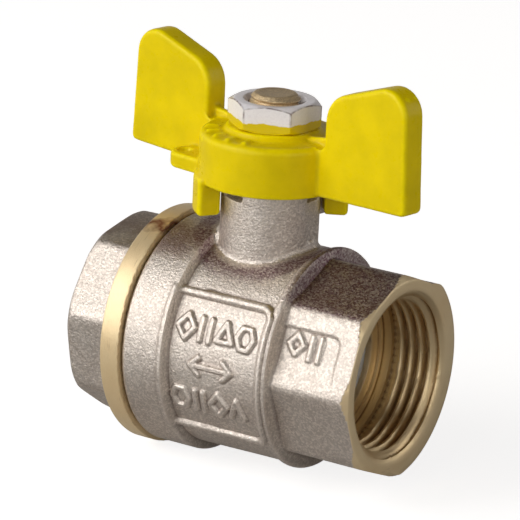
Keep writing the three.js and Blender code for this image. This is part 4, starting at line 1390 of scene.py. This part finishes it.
def polished_chrome():
    """Hard chrome with faint marks."""
    material, tree, shader = new_material("polished_chrome")
    grain = use_group(tree, "forged_grain", Size=3.0)
    colour = blend_colour(tree, grain["Patches"], CHROME, DULL_CHROME)
    tree.links.new(colour, shader.inputs["Base Color"])
    tree.links.new(remap(tree, grain["Height"], 0.5, 1.0, 0.05, 0.16), shader.inputs["Roughness"])
    shader.inputs["Metallic"].default_value = 1.0
    return material


def plain_finish(name, first, second, rough, metallic=0.0, size=2.0, depth=0.00005):
    """A dull solid finish with patches and a fine grain."""
    material, tree, shader = new_material(name)
    grain = use_group(tree, "forged_grain", Size=size)
    tree.links.new(blend_colour(tree, grain["Patches"], first, second), shader.inputs["Base Color"])
    tree.links.new(remap(tree, grain["Height"], 0.4, 1.1, rough[0], rough[1]), shader.inputs["Roughness"])
    shader.inputs["Metallic"].default_value = metallic
    bump(tree, shader, grain["Height"], 0.35, depth)
    return material


def handle_paint(colours):
    """Glossy yellow coat with slight mottling, edges painted paler as highlights, hollows painted darker as
    shade, and a few dark specks.
    """
    material, tree, shader = new_material("yellow_handle_coat")
    grain = use_group(tree, "forged_grain", Size=2.2)
    relief_shading = use_group(tree, "edge_highlight_and_hollow_shade", Low=0.508, High=0.535)
    dust = use_group(tree, "settled_dust", Amount=0.6)
    paint = tuple(colours.paint)
    deep = scaled(paint, 0.80, 0.80, 1.0)
    bright = scaled(paint, 1.12, 1.22, 1.0)
    shadowed = scaled(paint, 0.5, 0.5, 0.0)
    colour = tinted(tree, grain["Patches"], 0.8, paint, deep)
    # painted highlight: paler paint along the edges
    colour = tinted(tree, relief_shading["Edges"], 0.8, colour, bright)
    colour = tinted(tree, relief_shading["Hollows"], 0.45, colour, shadowed)
    colour = tinted(tree, dust["Mask"], 0.3, colour, PAINT_DUST)
    tree.links.new(colour, shader.inputs["Base Color"])
    tree.links.new(remap(tree, grain["Height"], 0.5, 1.1, 0.24, 0.36), shader.inputs["Roughness"])
    bump(tree, shader, grain["Height"], 0.45, 0.00010)
    shader.inputs["Specular IOR Level"].default_value = 0.14
    return material


def nut_plating(colours):
    """Bright zinc plating, with the handle's paint on the lower third up to a ragged line."""
    material, tree, shader = new_material("nut_zinc_plating")
    grain = use_group(tree, "forged_grain", Size=1.2)
    place = object_place(tree)
    height = wire(tree, "ShaderNodeSeparateXYZ", {0: place}).outputs["Z"]
    wobble = maths(tree, "MULTIPLY_ADD", noise(tree, place, 420.0, 3.0), 0.0010, height)
    line = (FLOW_Z + NUT_SEAT + PAINT_LINE) * MM
    painted = remap(tree, wobble, line + 0.00006, line - 0.00006)
    zinc = tuple(colours.zinc)
    paint = tuple(colours.paint)
    plate = tinted(tree, grain["Specks"], 0.3, zinc, scaled(zinc, 0.8, 0.78, 0.8))
    edge_line = attribute(tree, "edge_line")
    broken = remap(tree, noise(tree, place, 900.0, 2.0), 0.40, 0.62, 0.35, 1.0)
    # painted dark reflection lines along the nut's edges, broken up by a noise
    plate = tinted(tree, edge_line, broken, plate, NUT_EDGE_REFLECTION)
    colour = blend_colour(tree, painted, plate, scaled(paint, 0.85, 0.85, 0.0))
    tree.links.new(colour, shader.inputs["Base Color"])
    tree.links.new(remap(tree, painted, 0.0, 1.0, 0.12, 0.0), shader.inputs["Metallic"])
    tree.links.new(remap(tree, grain["Height"], 0.4, 1.0, 0.10, 0.20), shader.inputs["Roughness"])
    bump(tree, shader, grain["Height"], 0.25, 0.00005)
    return material


# ================================================================ operators
BARE_RADIUS = 14.6  # the mouths are bare brass within this distance of the flow axis


class VALVE_OT_body(bpy.types.Operator):
    """Makes the forged valve body with its neck, panel, octagon and thread"""
    bl_idname = "valve.body"
    bl_label = "Valve body"

    def execute(self, context):
        scene = context.scene
        sizes = scene.valve_body_sizes
        build_groups()
        body = make_body_shell(sizes)
        body.name = "forged_valve_body"
        cut_with(body, make_neck(sizes), "UNION")
        cut_with(body, make_stem_bore(), "DIFFERENCE")
        vertices = vertex_array(body)
        from_axis = np.hypot(vertices[:, 1], vertices[:, 2] - FLOW_Z)
        x = vertices[:, 0]
        cone = outlet_bevel(x, sizes.spanner_flats / MM)
        on_bevel = (x > OUTLET_X - 1.6) & (from_axis > cone - 0.08)
        inside = from_axis < np.where(x > 9.0, BARE_RADIUS, CAVITY_RADIUS + 0.05)
        on_face = x > OUTLET_X - 0.12
        stem_hole = np.hypot(x, vertices[:, 1]) < STEM_HOLE + 0.15
        paint_attribute(body, "machined", (on_bevel | inside | on_face | stem_hole).astype(float))
        paint_attribute(body, "dark_reflection", dark_reflection_mask(vertices))
        paint_attribute(body, "matte", (on_bevel | on_face).astype(float))
        smooth_shaded(body, 40)
        material = plated_brass(scene.valve_colours)
        finish_piece(body, "shell", "plated_brass", material, "valve_body")
        return {"FINISHED"}


class VALVE_OT_connector(bpy.types.Operator):
    """Makes the inlet end connector with its machined collar"""
    bl_idname = "valve.connector"
    bl_label = "End connector"

    def execute(self, context):
        sizes = context.scene.valve_body_sizes
        connector = make_connector_shell(sizes)
        vertices = vertex_array(connector)
        from_axis = np.hypot(vertices[:, 1], vertices[:, 2] - FLOW_Z)
        collar = (vertices[:, 0] > COLLAR_LEFT_X) & (vertices[:, 0] < -9.0)
        face = vertices[:, 0] < INLET_X + 0.05
        paint_attribute(connector, "machined", (collar | (from_axis < BARE_RADIUS) | face).astype(float))
        paint_attribute(connector, "dark_reflection", np.zeros(len(vertices)))
        paint_attribute(connector, "matte", (collar | face).astype(float))
        smooth_shaded(connector, 40)
        material = bpy.data.materials["nickel_plated_forging"]
        finish_piece(connector, "shell", "plated_brass", material, "end_connector")
        return {"FINISHED"}


class VALVE_OT_inside(bpy.types.Operator):
    """Makes the ball, the seats, the seals and the washer"""
    bl_idname = "valve.inside"
    bl_label = "Ball, seats and seals"

    def execute(self, context):
        sizes = context.scene.valve_body_sizes
        ball = make_ball(sizes)
        smooth_shaded(ball)
        ball.name = "valve_ball"
        finish_piece(ball, "closure_ball", "ball_chrome", polished_chrome(), "ball")
        polymer = plain_finish("seat_polymer", POLYMER, DULL_POLYMER, (0.35, 0.5))
        for node_name, side in (("outlet_seat", 1), ("inlet_seat", -1)):
            seat = make_seat("ring_" + node_name, side, sizes)
            smooth_shaded(seat)
            finish_piece(seat, "shell", "seat_polymer", polymer, node_name)
        rubber = plain_finish("seal_rubber", RUBBER, DUSTY_RUBBER, (0.45, 0.65))
        seal = revolved_ring("ring_body_oring", circle_outline(-12.08, SPIGOT_RADIUS - 0.5, 1.4), True)
        smooth_shaded(seal, 80)
        finish_piece(seal, "shell", "seal_rubber", rubber, "body_oring")
        for node_name, height in (("stem_oring_lower", LOWER_SEAL_Z), ("stem_oring_upper", UPPER_SEAL_Z)):
            seal = revolved_ring("ring_" + node_name, circle_outline(height, 3.48, 1.24), False)
            smooth_shaded(seal, 80)
            finish_piece(seal, "turning_handle", "seal_rubber", rubber, node_name)
        washer = revolved_ring("ring_stem_thrust_washer", [
            (17.2, 4.2), (17.2, 5.7), (17.3, 5.8), (17.97, 5.8), (18.07, 5.7), (18.07, 4.2)], False)
        smooth_shaded(washer)
        finish_piece(washer, "turning_handle", "seat_polymer", polymer, "stem_thrust_washer")
        return {"FINISHED"}


class VALVE_OT_stem(bpy.types.Operator):
    """Makes the stem with its tongue, seal grooves, flats and threaded end"""
    bl_idname = "valve.stem"
    bl_label = "Stem"

    def execute(self, context):
        stem = make_stem()
        stem.name = "valve_stem"
        smooth_shaded(stem, 30)
        finish_piece(stem, "turning_handle", "bare_brass", bare_brass(context.scene.valve_colours), "stem")
        return {"FINISHED"}


class VALVE_OT_handle(bpy.types.Operator):
    """Makes the painted butterfly handle"""
    bl_idname = "valve.handle"
    bl_label = "Butterfly handle"

    def execute(self, context):
        scene = context.scene
        handle = make_handle(scene.valve_handle_sizes)
        handle.name = "butterfly_handle"
        handle.data.shade_smooth()
        material = handle_paint(scene.valve_colours)
        finish_piece(handle, "turning_handle", "handle_paint", material, "handle")
        return {"FINISHED"}


class VALVE_OT_nut(bpy.types.Operator):
    """Makes the hexagon nut"""
    bl_idname = "valve.nut"
    bl_label = "Handle nut"

    def execute(self, context):
        nut = make_nut()
        nut.name = "hexagon_nut"
        paint_attribute(nut, "edge_line", nut_edge_lines(vertex_array(nut)))
        smooth_shaded(nut, 25)
        material = nut_plating(context.scene.valve_colours)
        finish_piece(nut, "turning_handle", "nut_plate", material, "handle_nut")
        return {"FINISHED"}


# ---------------------------------------------------------------- stage
CAMERA_AZIMUTH = 32.13  # degrees round from the front, towards the outlet
CAMERA_ELEVATION = 17.18
CAMERA_ROLL = 2.62
CAMERA_DISTANCE = 524.2
CAMERA_TARGET = (-1.43, 0.0, FLOW_Z + 13.66)
CAMERA_LENS = 228.46
SENSOR_WIDTH = 36.0
FLOOR_GREY = (0.50, 0.49, 0.48)
FLOOR_GLOW = 0.80
FLOOR_HALF = 3.0
LIGHT_TARGET = (0.0, 0.0, 0.03)
LIGHTS = (  # name, place, width and height in metres, power, colour
    ("key_front", (-0.25, -0.95, 0.30), (0.9, 0.8), 3.6, (1, 1, 1)),
    ("key_left", (-0.70, -0.70, 0.34), (0.8, 0.8), 2.4, (1, 1, 1)),
    ("upper_left", (-0.52, -0.55, 0.68), (0.6, 0.5), 3.0, (1.0, 0.98, 0.96)),
    ("mouth_side", (0.95, -0.35, 0.22), (0.5, 0.9), 2.2, (1.0, 0.97, 0.92)),
    ("back_right", (0.75, 0.65, 0.35), (0.3, 0.6), 1.0, (1, 1, 1)),
)
SKY_DARK = (0.045, 0.036, 0.033)
SKY_PALE = (0.80, 0.79, 0.78)


def make_camera():
    """A long lens that looks down a little at the outlet's front side."""
    azimuth = math.radians(CAMERA_AZIMUTH)
    elevation = math.radians(CAMERA_ELEVATION)
    roll = math.radians(CAMERA_ROLL)
    back = Vector((math.sin(azimuth) * math.cos(elevation), -math.cos(azimuth) * math.cos(elevation),
                   math.sin(elevation)))
    right = Vector((math.cos(azimuth), math.sin(azimuth), 0.0))
    up = back.cross(right)
    camera_right = right * math.cos(roll) + up * math.sin(roll)
    camera_up = up * math.cos(roll) - right * math.sin(roll)
    camera = bpy.data.objects.new("valve_camera", bpy.data.cameras.new("valve_camera"))
    camera.data.lens = CAMERA_LENS
    camera.data.sensor_width = SENSOR_WIDTH
    camera.data.clip_start = 0.01
    place = (Vector(CAMERA_TARGET) + back * CAMERA_DISTANCE) * MM
    axes = Matrix((camera_right, camera_up, back)).transposed().to_4x4()
    camera.matrix_world = Matrix.Translation(place) @ axes
    bpy.context.scene.collection.objects.link(camera)
    bpy.context.scene.camera = camera


def soft_light(name, place, size, power, colour):
    """A large area light at a place (metres), aimed at the valve."""
    lamp = bpy.data.lights.new(name, "AREA")
    lamp.shape = "RECTANGLE"
    lamp.size, lamp.size_y = size
    lamp.energy = power
    lamp.color = colour
    made = bpy.data.objects.new(name, lamp)
    made.location = place
    towards = Vector(LIGHT_TARGET) - Vector(place)
    made.rotation_euler = towards.to_track_quat("-Z", "Y").to_euler()
    made.visible_camera = False
    bpy.context.scene.collection.objects.link(made)


def make_world():
    """A studio sky: white round the horizon and below, darker overhead."""
    world = bpy.data.worlds.new("studio")
    world.use_nodes = True
    tree = world.node_tree
    tree.nodes.clear()
    direction = wire(tree, "ShaderNodeTexCoord").outputs["Generated"]
    height = wire(tree, "ShaderNodeSeparateXYZ", {0: direction}).outputs["Z"]
    low = remap(tree, height, 0.22, 0.55, 1.0, 0.0)
    toward_left = wire(tree, "ShaderNodeVectorMath", {0: direction, 1: (-0.75, -0.66, 0.0)},
                       operation="DOT_PRODUCT").outputs["Value"]
    side = remap(tree, toward_left, -0.7, 0.6, 0.22, 1.0)
    shade = maths(tree, "MULTIPLY", low, side)
    colour = blend_colour(tree, shade, SKY_DARK, SKY_PALE)
    seen = wire(tree, "ShaderNodeLightPath").outputs["Is Camera Ray"]
    colour = blend_colour(tree, seen, colour, (1.0, 1.0, 1.0))
    backdrop = wire(tree, "ShaderNodeBackground", {"Color": colour, "Strength": 1.0})
    leave = wire(tree, "ShaderNodeOutputWorld", {"Surface": backdrop.outputs[0]})
    leave.is_active_output = True
    bpy.context.scene.world = world


def pale_floor():
    """A floor that is nearly white to the eye, with a faint shadow, and mid grey in reflections."""
    material, tree, shader = new_material("pale_floor")
    place = object_place(tree)
    seen = wire(tree, "ShaderNodeLightPath").outputs["Is Camera Ray"]
    tint = blend_colour(tree, noise(tree, place, 3.0), FLOOR_GREY, tuple(c * 1.05 for c in FLOOR_GREY))
    tree.links.new(tint, shader.inputs["Base Color"])
    tree.links.new(maths(tree, "MULTIPLY", seen, FLOOR_GLOW), shader.inputs["Emission Strength"])
    shader.inputs["Emission Color"].default_value = (1, 1, 1, 1)
    shader.inputs["Roughness"].default_value = 0.9
    shader.inputs["Specular IOR Level"].default_value = 0.1
    return material


class VALVE_OT_stage(bpy.types.Operator):
    """Makes the pale floor, the soft lights and the camera"""
    bl_idname = "valve.stage"
    bl_label = "Stage"

    def execute(self, context):
        scene = context.scene
        scene.view_settings.view_transform = "Standard"
        half = FLOOR_HALF
        corners = np.array([(-half, -half, 0), (half, -half, 0), (half, half, 0), (-half, half, 0)])
        floor = mesh_object("floor", corners, np.array([[0, 1, 2, 3]]), np.zeros((0, 3), int))
        material = pale_floor()
        floor.data.materials.append(material)
        make_world()
        make_camera()
        for name, place, size, power, colour in LIGHTS:
            soft_light(name, place, size, power, colour)
        return {"FINISHED"}


class VALVE_PT_panel(bpy.types.Panel):
    """Lists the steps that build the valve"""
    bl_label = "Ball valve"
    bl_idname = "VALVE_PT_panel"
    bl_space_type = "VIEW_3D"
    bl_region_type = "UI"
    bl_category = "Ball valve"

    def draw(self, context):
        for group in ("valve_body_sizes", "valve_handle_sizes", "valve_colours"):
            box = self.layout.box()
            for label in getattr(context.scene, group).__annotations__:
                box.prop(getattr(context.scene, group), label)
        for operator in OPERATORS:
            self.layout.operator(operator.bl_idname)


OPERATORS = (VALVE_OT_body, VALVE_OT_connector, VALVE_OT_inside, VALVE_OT_stem, VALVE_OT_handle,
             VALVE_OT_nut, VALVE_OT_stage)
GROUPS = (ValveBodySizes, ValveHandleSizes, ValveColours)
CLASSES = (*GROUPS, *OPERATORS, VALVE_PT_panel)


def register():
    """Registers the classes and hangs the size groups on the scene."""
    for entry in CLASSES:
        bpy.utils.register_class(entry)
    bpy.types.Scene.valve_body_sizes = bpy.props.PointerProperty(type=ValveBodySizes)
    bpy.types.Scene.valve_handle_sizes = bpy.props.PointerProperty(type=ValveHandleSizes)
    bpy.types.Scene.valve_colours = bpy.props.PointerProperty(type=ValveColours)


def unregister():
    """Takes the size groups and classes away again."""
    del bpy.types.Scene.valve_colours
    del bpy.types.Scene.valve_handle_sizes
    del bpy.types.Scene.valve_body_sizes
    for entry in reversed(CLASSES):
        bpy.utils.unregister_class(entry)


def main():
    """Builds everything in order."""
    register()
    bpy.ops.valve.body()
    bpy.ops.valve.connector()
    bpy.ops.valve.inside()
    bpy.ops.valve.stem()
    bpy.ops.valve.handle()
    bpy.ops.valve.nut()
    bpy.ops.valve.stage()


if __name__ == "__main__":
    main()
